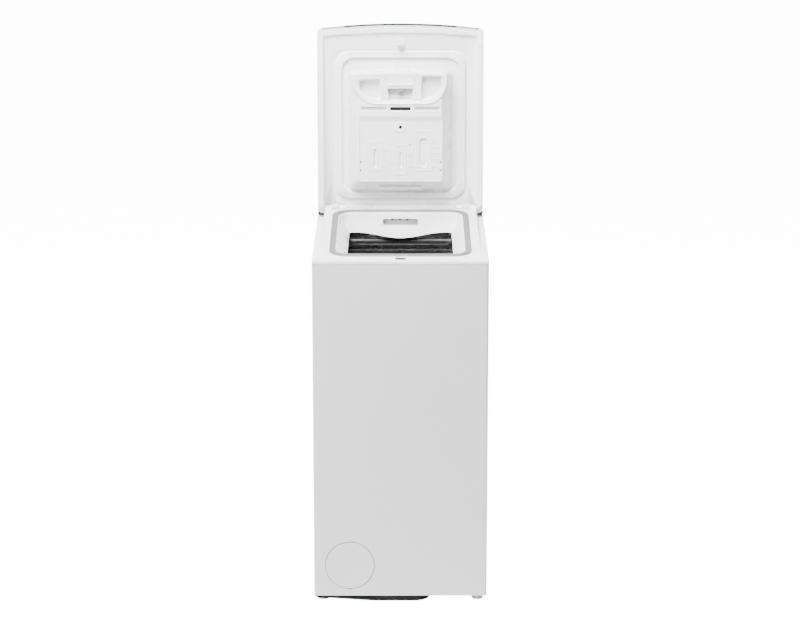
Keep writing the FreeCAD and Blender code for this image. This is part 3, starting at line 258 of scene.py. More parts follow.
# %% Moulded finishes
def moulded(name, colour, rough, drift=0.02, grain=0.4, depth=0.03, wave=60.0, coat=0.0):
    material, tree, shader = start_graph(name, colour, rough)
    tone = spread(tree, noise(tree, wave, 3.0), 0.35, 0.65)
    colours = two_tones(tree, tone, shade(colour, 1.0 - drift), shade(colour, 1.0 + drift))
    tree.links.new(colours, shader.inputs["Base Color"])
    gloss = spread(tree, noise(tree, wave * 0.4, 4.0), 0.3, 0.7, rough * 0.85, rough * 1.2)
    tree.links.new(gloss, shader.inputs["Roughness"])
    emboss(tree, shader, [noise(tree, grain, 3.0)], 0.35, depth)
    shader.inputs["Coat Weight"].default_value = coat
    shader.inputs["Coat Roughness"].default_value = 0.08
    return material


# Colour, roughness, drift, grain size, grain depth, wave length and coat, with sizes in mm.
MOULDED = {
    "white_enamel": ((0.56, 0.565, 0.555), 0.34, 0.004, 2.2, 0.006, 160.0, 0.3),
    "white_enamel_plastic": ((0.80, 0.805, 0.80), 0.28, 0.005, 1.6, 0.006, 140.0, 0.25),
    "white_plastic": ((0.87, 0.875, 0.87), 0.30, 0.008, 0.5, 0.02, 90.0),
    "console_plastic": ((0.82, 0.825, 0.82), 0.34, 0.008, 0.6, 0.02, 90.0),
    "dispenser_white": ((0.87, 0.88, 0.875), 0.27, 0.006, 0.4, 0.008, 70.0),
    "grey_rubber": ((0.14, 0.147, 0.150), 0.5, 0.05, 0.35, 0.05, 30.0),
    "black_rubber": ((0.007, 0.007, 0.008), 0.30, 0.0, 0.1, 0.0, 45.0),
    "grey_plastic": ((0.19, 0.20, 0.205), 0.45, 0.05, 0.3, 0.04, 40.0),
    "black_plastic": ((0.016, 0.016, 0.017), 0.42, 0.2, 0.3, 0.05, 40.0),
    "lever_black": ((0.010, 0.010, 0.011), 0.38, 0.2, 0.35, 0.05, 35.0),
    "foot_grey": ((0.50, 0.50, 0.49), 0.5, 0.04, 0.35, 0.05, 15.0),
    "latch_grey": ((0.22, 0.225, 0.235), 0.35, 0.04, 0.3, 0.03, 15.0),
    "hose_grey": ((0.17, 0.175, 0.18), 0.5, 0.08, 0.5, 0.05, 30.0),
    "tub_plastic": ((0.62, 0.63, 0.62), 0.52, 0.05, 0.6, 0.06, 50.0),
    "display_glass": ((0.008, 0.009, 0.012), 0.06, 0.3, 40.0, 0.002, 60.0, 1.0),
}
finishes = {name: moulded(name, *sizes) for name, sizes in MOULDED.items()}
print(len(finishes), "moulded finishes")

# %% [markdown]
# ### Metals
# Galvanised sheet shows spangle, flat crystals a centimetre across, which a Voronoi cell
# colour gives. Rolled and turned metal shows fine lines, which is noise stretched many
# times along one axis. Castings are blotchy and pitted. A metal's base colour is the colour of
# its reflection, so the tones stay bright and the roughness does the work.

# %% Metal finishes
def lined_metal(name, colour, rough, stretch, line=0.5, depth=0.01):
    material, tree, shader = start_graph(name, colour, rough, 1.0)
    lines = noise(tree, line, 3.0, stretch)
    colours = two_tones(tree, spread(tree, lines, 0.3, 0.7), shade(colour, 0.88), shade(colour, 1.08))
    tree.links.new(colours, shader.inputs["Base Color"])
    gloss = spread(tree, lines, 0.2, 0.8, rough * 0.7, rough * 1.35)
    tree.links.new(gloss, shader.inputs["Roughness"])
    emboss(tree, shader, [lines], 0.3, depth)
    return material


def spangled_zinc(name):
    colour = (0.60, 0.62, 0.64)
    material, tree, shader = start_graph(name, colour, 0.36, 1.0)
    cells = tree.nodes.new("ShaderNodeTexVoronoi")
    cells.inputs["Scale"].default_value = 1.0 / (9.0 * MM)
    tree.links.new(placed(tree), cells.inputs["Vector"])
    tone = tree.nodes.new("ShaderNodeSeparateColor")
    tree.links.new(cells.outputs["Color"], tone.inputs["Color"])
    crystal = tone.outputs["Red"]
    colours = two_tones(tree, crystal, shade(colour, 0.86), shade(colour, 1.1))
    tree.links.new(colours, shader.inputs["Base Color"])
    tree.links.new(spread(tree, crystal, 0.0, 1.0, 0.26, 0.46), shader.inputs["Roughness"])
    emboss(tree, shader, [crystal], 0.12, 0.02)
    return material


def cast_metal(name, colour, rough, pit=1.2):
    material, tree, shader = start_graph(name, colour, rough, 1.0)
    blotch = spread(tree, noise(tree, 25.0, 5.0), 0.35, 0.65)
    colours = two_tones(tree, blotch, shade(colour, 0.82), shade(colour, 1.1))
    tree.links.new(colours, shader.inputs["Base Color"])
    gloss = spread(tree, noise(tree, 8.0, 4.0), 0.3, 0.7, rough * 0.8, rough * 1.25)
    tree.links.new(gloss, shader.inputs["Roughness"])
    emboss(tree, shader, [noise(tree, pit, 4.0)], 0.4, 0.12)
    return material


finishes["zinc_steel"] = spangled_zinc("zinc_steel")
finishes["steel"] = lined_metal("steel", (0.55, 0.56, 0.58), 0.28, (1.0, 1.0, 0.08))
finishes["stainless"] = lined_metal("stainless", (0.66, 0.66, 0.65), 0.22, (0.03, 1.0, 1.0), 0.4)
finishes["motor_metal"] = cast_metal("motor_metal", (0.34, 0.35, 0.37), 0.42)
finishes["pulley_metal"] = cast_metal("pulley_metal", (0.55, 0.56, 0.57), 0.34, 0.8)
print("metals", [name for name in finishes if "metal" in name or "steel" in name or "zinc" in name])

# %% [markdown]
# ### Concrete and circuit board
# The balance weights are cast concrete: pale cement with darker sand, and small air pits in the
# skin. The board is green solder resist over a grid of copper tracks, which two sine waves
# crossing each other give well enough behind a console.

# %% Concrete and circuit board
def cast_concrete(name):
    colour = (0.42, 0.41, 0.39)
    material, tree, shader = start_graph(name, colour, 0.9)
    sand = spread(tree, noise(tree, 1.6, 5.0), 0.42, 0.62)
    colours = two_tones(tree, sand, shade(colour, 1.15), shade(colour, 0.7))
    tree.links.new(colours, shader.inputs["Base Color"])
    pits = spread(tree, noise(tree, 5.0, 2.0), 0.30, 0.38)
    emboss(tree, shader, [pits, noise(tree, 1.0, 5.0)], 0.5, 0.25)
    return material


def circuit_board(name):
    green = (0.02, 0.13, 0.06)
    material, tree, shader = start_graph(name, green, 0.35)
    waves = []
    for direction in ("X", "Y"):
        wave = tree.nodes.new("ShaderNodeTexWave")
        wave.bands_direction = direction
        wave.inputs["Scale"].default_value = 60.0
        wave.inputs["Distortion"].default_value = 3.0
        tree.links.new(placed(tree), wave.inputs["Vector"])
        waves.append(wave.outputs["Fac"])
    track = tree.nodes.new("ShaderNodeMath")
    track.operation = "MULTIPLY"
    tree.links.new(waves[0], track.inputs[0])
    tree.links.new(waves[1], track.inputs[1])
    lines = spread(tree, track.outputs["Value"], 0.35, 0.45)
    tree.links.new(two_tones(tree, lines, green, (0.05, 0.27, 0.10)), shader.inputs["Base Color"])
    emboss(tree, shader, [lines], 0.3, 0.05)
    return material


finishes["concrete"] = cast_concrete("concrete")
finishes["circuit"] = circuit_board("circuit")
missing = sorted(set(slot_of.values()) - set(finishes))
print(len(finishes), "finishes in all, missing", missing)

# %% [markdown]
# ### Deep blacks
# Rubber and black plastic look black because they mirror little, so the strength of their
# reflection is turned down.

# %% Deep blacks
BLACKS = {"black_rubber": 0.3, "black_plastic": 0.2, "lever_black": 0.05}
for name, strength in BLACKS.items():
    shader = finishes[name].node_tree.nodes["Principled BSDF"]
    shader.inputs["Specular IOR Level"].default_value = strength
print("blacks", sorted(BLACKS))

# %% [markdown]
# ## Tools for making pieces
# Shapes are drawn in millimetres in a bmesh, then scaled to metres in one place. The helper
# that turns a bmesh into a piece also looks up the part's body and material slot in the
# record, so that a piece can't end up on the wrong body or with the wrong finish. Faces are
# shaded smooth and edges sharper than an angle stay crisp.

# %% Turn a bmesh into a piece
remade = set()


def to_object(name, bm, sharp):
    bmesh.ops.scale(bm, vec=(MM, MM, MM), verts=bm.verts)
    mesh = bpy.data.meshes.new(name)
    bm.to_mesh(mesh)
    bm.free()
    mesh.shade_smooth()
    mesh.set_sharp_from_angle(angle=math.radians(sharp))
    piece = bpy.data.objects.new(name, mesh)
    bpy.context.scene.collection.objects.link(piece)
    return piece


def add_piece(name, bm, node, sharp=35.0, ride=True, slot=None, extra=False):
    piece = to_object(name, bm, sharp)
    slot = slot or slot_of[node]
    piece.data.materials.append(finishes[slot])
    if ride:
        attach(piece, body_of[node])
    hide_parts(node)
    if not extra:
        remade.add(node)
    return piece


def thicken(piece, thickness, offset=-1.0):
    wall = piece.modifiers.new("wall", "SOLIDIFY")
    wall.thickness = thickness * MM
    wall.offset = offset


def round_edges(piece, width, segments=2, angle=32.0):
    bevel = piece.modifiers.new("round_edges", "BEVEL")
    bevel.width = width * MM
    bevel.segments = segments
    bevel.limit_method = "ANGLE"
    bevel.angle_limit = math.radians(angle)
    bevel.harden_normals = True


# %% [markdown]
# ### Loops and lofts
# Most mouldings here are rounded rectangles that change size with depth. A rounded rectangle
# starts as four corners, and a vertex bevel rounds them. Cuts along its straight sides let
# those sides bend later. All loops have the same number of corners, so bridging one to the
# next gives clean rows of quads.

# %% Loops and lofts
CORNER_STEPS = 8


def loop(bm, half, front, back, radius, height=0.0, cuts=0):
    """Draws a closed loop, centred on x = 0, from front to back in y. Gives its edges' numbers."""
    single = bmesh.new()
    places = ((-half, front), (half, front), (half, back), (-half, back))
    corners = [single.verts.new((x, y, height)) for x, y in places]
    single.faces.new(corners)
    bmesh.ops.bevel(single, geom=corners, affect="VERTICES", offset_type="OFFSET", offset=radius,
                    segments=CORNER_STEPS, profile=0.5, material=-1)
    if cuts:
        sides = sorted(single.edges, key=lambda e: e.calc_length())[-4:]
        bmesh.ops.subdivide_edges(single, edges=sides, cuts=cuts)
    bmesh.ops.delete(single, geom=list(single.faces), context="FACES_ONLY")
    count = len(single.edges)
    drawing = bpy.data.meshes.new("drawing")
    single.to_mesh(drawing)
    single.free()
    bm.from_mesh(drawing)
    bpy.data.meshes.remove(drawing)
    bm.edges.ensure_lookup_table()
    return range(len(bm.edges) - count, len(bm.edges))


def loft(bm, loops):
    """Bridges each loop to the next, and gives back the last loop's edges."""
    bm.edges.ensure_lookup_table()
    rings = [[bm.edges[i] for i in numbers] for numbers in loops]
    for first, second in zip(rings, rings[1:]):
        bmesh.ops.bridge_loops(bm, edges=first + second)
    return rings[-1]


def move(bm, rule):
    for vert in bm.verts:
        vert.co = rule(*vert.co)


def agree_normals(bm):
    bmesh.ops.remove_doubles(bm, verts=bm.verts, dist=0.001)
    bmesh.ops.recalc_face_normals(bm, faces=bm.faces)


def face_along(bm, axis, sign=1.0):
    """Makes the normals of an open skin agree, with their sum along an axis."""
    agree_normals(bm)
    total = sum(face.normal[axis] * face.calc_area() for face in bm.faces)
    if total * sign < 0:
        bmesh.ops.reverse_faces(bm, faces=bm.faces)


def face_outward(bm, centre):
    """Makes the normals of an open sleeve agree, and point away from a centre."""
    agree_normals(bm)
    middle = Vector(centre)
    total = sum(f.normal.dot(f.calc_center_median() - middle) * f.calc_area() for f in bm.faces)
    if total < 0:
        bmesh.ops.reverse_faces(bm, faces=bm.faces)


def smooth_step(value, start, end):
    t = min(1.0, max(0.0, (value - start) / (end - start)))
    return t * t * (3.0 - 2.0 * t)


# %% [markdown]
# ### Small solids
# Pins, pegs, pads and bars are boxes and cylinders with rounded edges. Each is made in place in
# the bmesh that it belongs to, and only its own edges are bevelled.

# %% Small solids
def add_box(bm, low_corner, high_corner, radius=0.8, segments=2):
    centre = (Vector(low_corner) + Vector(high_corner)) / 2
    size = Vector(high_corner) - Vector(low_corner)
    place = Matrix.Translation(centre) @ Matrix.Diagonal((*size, 1.0))
    box = bmesh.ops.create_cube(bm, size=1.0, matrix=place)
    edges = list({e for v in box["verts"] for e in v.link_edges})
    if radius:
        bmesh.ops.bevel(bm, geom=edges, affect="EDGES", offset=radius, segments=segments,
                        profile=0.5, material=-1)


def add_rod(bm, start, end, radius, steps=32, bevel=0.5):
    start = Vector(start)
    along = Vector(end) - start
    place = Matrix.Translation(start + along / 2) @ along.to_track_quat("Z", "Y").to_matrix().to_4x4()
    made_rod = bmesh.ops.create_cone(bm, cap_ends=True, segments=steps, radius1=radius,
                                     radius2=radius, depth=along.length, matrix=place)
    if bevel:
        rims = {e for v in made_rod["verts"] for e in v.link_edges
                if any(len(f.verts) == steps for f in e.link_faces)}
        bmesh.ops.bevel(bm, geom=list(rims), affect="EDGES", offset=bevel, segments=2,
                        profile=0.5, material=-1)


print("tools ready")

# %% [markdown]
# ## The lid
# The lid is modelled as it stands, open and upright. Its own drawing plane makes that easy:
# x runs across it, y up from the hinge, and z towards the person at the machine. A quarter
# turn about the hinge line takes a drawing into the frame. The lid's rims must clear the
# sloping shoulders when it shuts, so they come forward towards the hinge by a steady slope.

# %% The lid's drawing plane
hinge = joint_place["lid_hinge"]
LID_PLACE = Matrix.Translation(hinge) @ Matrix.Rotation(math.pi / 2, 4, "X")
lid_low, lid_high = (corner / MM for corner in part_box("lid_outer_shell"))
LID_HALF = lid_high.x
LID_LENGTH = lid_high.z - hinge.z
LID_BOW = 12.0
RIM_AT_HINGE = hinge.y - lid_low.y - 0.5
RIM_SLOPE = -0.0513


def rim_height(y):
    return RIM_AT_HINGE + RIM_SLOPE * max(y, 0.0)


def bowed(x, y, half, length):
    """Bends a straight front edge into the lid's shallow arc."""
    share = smooth_step(y, length - 70.0, length - LID_BOW)
    return y + share * LID_BOW * (1.0 - min(1.0, abs(x) / half) ** 2)


def place_on_lid(bm):
    bm.transform(LID_PLACE)


print("hinge at", tuple(round(c, 1) for c in hinge), "lid", round(LID_LENGTH), "mm long")

# %% [markdown]
# ### Outer shell
# The painted cover is a shallow tray: walls all round, a nose that rolls back along the front
# edge, and a flat back. It is a loft of one outline through nine depths. The outline's
# hinge side climbs with depth, which makes the sloped edge that lets the lid swing past the
# console. A Solidify modifier gives the tray its wall, and the room for the hinge lugs is cut
# from the finished wall.

# %% Outer shell
SHELL_WALL = 2.5
NOSE_CHAMFER = 4.2
NOSE = ((0.0, NOSE_CHAMFER, 0.0), (14.5, 3.6, 0.0), (22.0, 1.2, 0.0), (29.0, 0.0, 0.0), (36.0, 2.4, 0.4),
        (42.0, 8.0, 1.6), (46.5, 14.4, 3.8), (49.2, 20.8, 6.8), (50.0, 27.0, 10.0))
SLOPE_START, SLOPE_END = (-5.0, 9.0), (40.0, 50.0)
SHELL_RADIUS = 11.0


def apply_modifiers(piece):
    graph = bpy.context.evaluated_depsgraph_get()
    mesh = bpy.data.meshes.new_from_object(piece.evaluated_get(graph))
    old = piece.data
    piece.modifiers.clear()
    piece.data = mesh
    bpy.data.meshes.remove(old)


def cut_with(piece, cutter_bm):
    """Subtracts a closed bmesh from a piece, for good."""
    cutter = to_object("cutter", cutter_bm, 30.0)
    difference = piece.modifiers.new("difference", "BOOLEAN")
    difference.operation = "DIFFERENCE"
    difference.object = cutter
    apply_modifiers(piece)
    bpy.data.objects.remove(cutter)
    piece.data.shade_smooth()
    piece.data.set_sharp_from_angle(angle=math.radians(35.0))


def outer_shell():
    bm = bmesh.new()
    rise = (SLOPE_END[0] - SLOPE_START[0]) / (SLOPE_END[1] - SLOPE_START[1])
    loops = []
    for depth, back_off, side_off in NOSE:
        start = SLOPE_START[0] + 4.0 + max(0.0, depth - SLOPE_START[1]) * rise
        loops.append(loop(bm, LID_HALF - side_off, min(start, SLOPE_END[0]), LID_LENGTH - LID_BOW - back_off,
                          SHELL_RADIUS - side_off * 0.3, -depth - 30.0, cuts=12))
    bmesh.ops.edgeloop_fill(bm, edges=loft(bm, loops))

    def shape(x, y, z):
        depth = -z - 30.0
        y = bowed(x, y, LID_HALF, LID_LENGTH)
        return (x, y, rim_height(y) if depth < 0.5 else -depth)

    move(bm, shape)
    face_outward(bm, (0.0, LID_LENGTH / 2, -20.0))
    place_on_lid(bm)
    shell = add_piece("lid_cover", bm, "lid_outer_shell", sharp=50.0)
    thicken(shell, SHELL_WALL)
    apply_modifiers(shell)
    room = bmesh.new()
    add_box(room, (-LID_HALF + 15.0, -20.0, -12.0), (LID_HALF - 15.0, 11.5, 30.0), 0.0)
    place_on_lid(room)
    cut_with(shell, room)
    return shell


outer_shell()

# %% Hinge barrels
BARREL_RADIUS = 8.0
PIN_RADIUS = 4.0
PIN_FROM = 168.5


def hinge_barrels():
    bm = bmesh.new()
    for side in (-1, 1):
        start, end = side * (LID_HALF - 14.5), side * (LID_HALF - 0.1)
        add_rod(bm, (start, 0, 0), (end, 0, 0), BARREL_RADIUS, bevel=1.0)
        add_rod(bm, (side * PIN_FROM, 0, 0), (side * (LID_HALF - 14.0), 0, 0), PIN_RADIUS)
    place_on_lid(bm)
    return add_piece("lid_hinge_barrels", bm, "lid_outer_shell", slot="black_plastic")


hinge_barrels()

# %% [markdown]
# ### Inner liner
# The white liner is one vacuum formed sheet. From the outside in it has a rim, a wall down to
# a channel, a sealing ridge that lands on the grey gasket, and the field behind the
# dispenser. That is a loft of twenty rounded rectangles. The rim has no hinge side, so the
# loops run on past the hinge and one plane cuts them off there, then the wall thickness is
# added behind the sheet.

# %% Inner liner
FIELD = -17.3
RIM_INNER = 185.0
RIM_TOP = 423.0
RIDGE_HALF, RIDGE_LOW, RIDGE_HIGH = 156.5, 30.0, 388.0
RIDGE_WIDTH, RIDGE_RISE = 16.5, 4.6
LINER_BOTTOM = 3.5
ON_RIM = 100.0


def inner_liner():
    bm = bmesh.new()
    edge = LID_HALF - SHELL_WALL - 0.1
    tip = LID_LENGTH - LID_BOW - SHELL_WALL - NOSE_CHAMFER - 0.1
    past = -60.0
    rims = ((edge, tip, 9.0, -6.0), (edge, tip, 9.0, -1.0), (edge - 0.9, tip - 0.9, 8.4, 0.0),
            (RIM_INNER + 1.6, RIM_TOP + 1.6, 5.0, 0.0), (RIM_INNER + 0.4, RIM_TOP + 0.4, 5.5, -0.5),
            (RIM_INNER, RIM_TOP, 6.0, -1.4))
    loops = [loop(bm, half, past, top, radius, ON_RIM + rise, cuts=12) for half, top, radius, rise in rims]
    floor = ((RIM_INNER - 0.8, RIM_TOP - 0.8, 8.0, 2.2), (RIM_INNER - 1.8, RIM_TOP - 2.4, 14.0, 0.6),
             (RIM_INNER - 4.0, RIM_TOP - 6.0, 24.0, -0.4))
    loops += [loop(bm, half, past, top, radius, FIELD + rise, cuts=12) for half, top, radius, rise in floor]
    ridge = ((-3.5, -0.8), (-1.0, -2.2), (0.0, -2.4), (0.5, -1.4),
             (0.9, RIDGE_RISE - 1.0), (1.8, RIDGE_RISE),
             (RIDGE_WIDTH - 2.2, RIDGE_RISE + 0.6), (RIDGE_WIDTH - 1.2, RIDGE_RISE - 0.6),
             (RIDGE_WIDTH - 0.6, -0.6), (RIDGE_WIDTH, -2.0), (RIDGE_WIDTH + 5.0, -1.2))
    for inset, rise in ridge:
        loops.append(loop(bm, RIDGE_HALF - inset, RIDGE_LOW + inset, RIDGE_HIGH - inset, 32.0,
                          FIELD + rise, cuts=12))
    bmesh.ops.edgeloop_fill(bm, edges=loft(bm, loops))
    everything = list(bm.verts) + list(bm.edges) + list(bm.faces)
    bmesh.ops.bisect_plane(bm, geom=everything, plane_co=(0, LINER_BOTTOM, 0), plane_no=(0, 1, 0),
                           clear_inner=True)

    def shape(x, y, z):
        y = bowed(x, y, LID_HALF, LID_LENGTH)
        if z > ON_RIM / 2:
            return (x, y, rim_height(y) + z - ON_RIM)
        return (x, y, z)

    move(bm, shape)
    face_along(bm, 2)
    place_on_lid(bm)
    liner = add_piece("lid_liner", bm, "lid_inner_panel", sharp=40.0)
    thicken(liner, 1.8)
    return liner


inner_liner()

# %% [markdown]
# ### Details on the liner
# Small mouldings keep a big sheet from looking like a drawing: pads above the hinge with grey bars of
# painted shade for the slots there, a notch block at each side of the rim, and the frame that the latch hook
# stands in.

# %% Pads, slot shades and latch frame
def liner_details():
    bm = bmesh.new()
    for side in (-1, 1):
        add_box(bm, (side * 101.0 - 33.0, 5.5, -18.0), (side * 101.0 + 33.0, 14.5, -12.2), 1.2)
        add_box(bm, (side * 158.0 - 9.0, 5.5, -18.0), (side * 158.0 + 9.0, 15.5, -11.0), 1.2)
        block_x, block_top = side * 190.8, rim_height(401.0) + 0.5
        add_box(bm, (block_x - 5.0, 394.0, -16.0), (block_x + 5.0, 408.0, block_top), 0.9)
    frame_low, frame_high, half = 400.5, 415.5, 12.0
    for low_corner, high_corner in (((-half, frame_low, -18), (half, frame_low + 2.2, -15.6)),
                                    ((-half, frame_high - 2.2, -18), (half, frame_high, -15.6)),
                                    ((-half, frame_low, -18), (-half + 2.2, frame_high, -15.6)),
                                    ((half - 2.2, frame_low, -18), (half, frame_high, -15.6))):
        add_box(bm, low_corner, high_corner, 0.6)
    place_on_lid(bm)
    return add_piece("lid_liner_details", bm, "lid_inner_panel")


def liner_slot_shades():
    """Grey bars of painted shade in the gaps above the two long pads, where the hinge cover clips in."""
    bm = bmesh.new()
    for side in (-1, 1):
        add_box(bm, (side * 91.5 - 29.5, 15.4, -19.0), (side * 91.5 + 29.5, 16.9, -15.6), 0.3)
        add_box(bm, (side * 121.0 - 0.8, 8.0, -19.0), (side * 121.0 + 0.8, 16.0, -15.6), 0.3)
    place_on_lid(bm)
    return add_piece("lid_liner_slot_shades", bm, "lid_inner_panel", slot="foot_grey")


liner_details()
liner_slot_shades()

# %% [markdown]
# ### Grip strip
# A dark soft strip is let into the rolled front edge, so that fingers find it. It follows the
# lid's bow, and fine ribs run along it. A grey band under it is painted shade on the white
# rolled edge, and carries the line on to the corners. Each is a grid bent to the nose profile,
# so it lies in the roll.

# %% Grip strip
STRIP_HALF = 134.0
STRIP_FROM, STRIP_TO = 15.0, 30.0


def nose_back_off(depth):
    for (d0, b0, _), (d1, b1, _) in zip(NOSE, NOSE[1:]):
        if d0 <= depth <= d1:
            return b0 + (b1 - b0) * (depth - d0) / (d1 - d0)
    return NOSE[-1][1]


def nose_strip(name, half, rise, slot, wall):
    bm = bmesh.new()
    bmesh.ops.create_grid(bm, x_segments=48, y_segments=22, size=1.0)

    def shape(x, y, z):
        depth = STRIP_FROM + (y + 1.0) / 2.0 * (STRIP_TO - STRIP_FROM)
        across = x * half
        rib = 0.25 * math.sin(depth * math.pi)
        front = LID_LENGTH - LID_BOW * min(1.0, abs(across) / LID_HALF) ** 2
        return (across, min(front, front - nose_back_off(depth) + rise + rib), -depth)

    move(bm, shape)
    face_along(bm, 1)
    place_on_lid(bm)
    strip = add_piece(name, bm, "lid_grip_strip", slot=slot)
    thicken(strip, wall)
    return strip


# A grey band along the whole nose: painted shade on the white rolled edge of the lid.
nose_strip("nose_edge_shade", LID_HALF - 11.5, 0.15, "latch_grey", 0.6)
nose_strip("grip_strip", STRIP_HALF, 0.5, "black_plastic", 1.4)

# %% [markdown]
# ## The detergent dispenser
# The dispenser is a tapered tray clipped to the liner, closed by a face with two powder mouths,
# a latch pocket and three level windows. The tray is a loft of rounded rectangles that shrink
# towards the face. Its top edge is arched a little, and a notched ledge stands on the sloping
# face below, where a thumb lifts it.

# %% Dispenser tray
tray_low, tray_high = (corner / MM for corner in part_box("dispenser_tray"))
TRAY_HALF = tray_high.x
TRAY_FOOT = tray_low.z - hinge.z
TRAY_HEAD = tray_high.z - hinge.z
TRAY_BACK = hinge.y - tray_high.y
FACE_HALF = 101.0
FACE_FOOT, FACE_HEAD = TRAY_FOOT + 22.0, TRAY_HEAD - 12.0
FACE_Z = hinge.y - tray_low.y
TRAY_ARCH = 4.0
TRAY_LIFT, FACE_LIFT = 3.5, 8.5
TRAY_TUCKS = ((0.0, 0.0), (0.06, -0.6), (0.3, -1.6), (0.6, -1.8), (0.86, -0.6), (0.97, 0.8), (1.0, 3.2))


def dispenser_tray():
    bm = bmesh.new()
    loops = []
    for share, tuck in TRAY_TUCKS:
        half = TRAY_HALF + (FACE_HALF - TRAY_HALF) * share - tuck
        lift = TRAY_LIFT + (FACE_LIFT - TRAY_LIFT) * share
        foot = TRAY_FOOT + (FACE_FOOT - TRAY_FOOT) * share + tuck * 0.4 + lift
        head = TRAY_HEAD + (FACE_HEAD - TRAY_HEAD) * share - tuck - TRAY_ARCH + lift
        depth = TRAY_BACK + (FACE_Z - TRAY_BACK) * share
        loops.append(loop(bm, half, foot, head, 14.0 - 6.0 * share, depth, cuts=8))
    loft(bm, loops)

    def shape(x, y, z):
        arch = TRAY_ARCH * smooth_step(y, 280.0, 335.0) * (1.0 - min(1.0, abs(x) / TRAY_HALF) ** 2)
        return (x, y + arch, z)

    move(bm, shape)
    face_outward(bm, (0.0, (TRAY_FOOT + TRAY_HEAD) / 2, 0.0))
    place_on_lid(bm)
    tray = add_piece("detergent_tray", bm, "dispenser_tray", sharp=50.0)
    thicken(tray, 2.0)
    return tray


dispenser_tray()

# %% Inner walls and thumb ledge
def tray_fittings():
    bm = bmesh.new()
    for x in (-42.0, 42.0):
        add_box(bm, (x - 1.0, TRAY_FOOT + 24, TRAY_BACK + 1), (x + 1.0, TRAY_HEAD - 16, FACE_Z - 26.0), 0.5)
    add_box(bm, (-TRAY_HALF + 3, TRAY_FOOT + 3, TRAY_BACK),
            (TRAY_HALF - 3, TRAY_HEAD - 6, TRAY_BACK + 2), 0.5)
    add_box(bm, (-52.0, 57.5, -14.0), (52.0, 63.0, 10.0), 1.4)
    for x0, x1 in ((-52.0, -17.5), (-13.5, 17.5), (21.5, 52.0)):
        add_box(bm, (x0, 53.5, -14.0), (x1, 59.5, 7.5), 1.2)
    place_on_lid(bm)
    return add_piece("detergent_tray_fittings", bm, "dispenser_tray")


tray_fittings()

# %% [markdown]
# ### Dispenser face
# This face is all soft relief: a scoop with a raised lip, two powder mouths, the flap and pocket
# of the latch, slots, a boss, framed windows. Such a moulding is drawn best as a height over
# a grid. The grid's columns fan out to the outline, so the edge is smooth. Each feature adds
# or takes height through a distance to a rounded box, blended over a few millimetres as a
# tool radius would. Thickness comes last.

# %% Heights for the face
SCOOP_FOOT, SCOOP_HALF, SCOOP_RADIUS = 256.0, 112.0, 56.0
LATCH_HALF = 31.5
STEP_DOWN = 4.2


def rounded_box(x, y, x0, x1, y0, y1, radius):
    """Distance to a rounded box, negative inside."""
    cx, cy = (x0 + x1) / 2, (y0 + y1) / 2
    dx = abs(x - cx) - (x1 - x0) / 2 + radius
    dy = abs(y - cy) - (y1 - y0) / 2 + radius
    return math.hypot(max(dx, 0), max(dy, 0)) + min(max(dx, dy), 0) - radius


def inside(distance, wall):
    return 1.0 - smooth_step(distance, -wall, 0.0)


def bead(distance, width):
    return math.exp(-((distance / width) ** 2))


def face_half(y):
    """Half the width of the face: straight below, flaring out to the scoop above."""
    half = FACE_HALF - 12.0 + math.sqrt(max(0.0, 144.0 - max(0.0, FACE_FOOT + 12.0 - y) ** 2))
    if y > SCOOP_FOOT:
        down = max(0.0, SCOOP_FOOT + SCOOP_RADIUS - y)
        half = max(half, SCOOP_HALF - SCOOP_RADIUS + math.sqrt(SCOOP_RADIUS ** 2 - down ** 2))
    over = max(0.0, y - (FACE_HEAD - 14.0))
    return half - 14.0 + math.sqrt(max(0.0, 196.0 - over ** 2))


def place_on_face(bm):
    """Features of the face are drawn from the tray's foot, and sit a little higher."""
    bm.transform(LID_PLACE @ Matrix.Translation((0, FACE_LIFT, 0)))


WINDOWS = ((-72.0, -46.6, 97.0, 166.0, -64.5, -55.5, 104.0, 149.0),
           (-9.5, 13.0, 87.0, 158.0, -3.0, 4.5, 104.0, 140.0),
           (38.5, 74.0, 97.0, 192.0, 45.0, 66.0, 104.0, 175.0))
PINHOLES = ((-95.5, 117.0, 1.9), (-95.5, 97.0, 1.9), (96.0, 117.0, 1.9), (96.0, 97.0, 1.9),
            (23.4, 159.0, 1.5))
BOSS_Y = 201.5


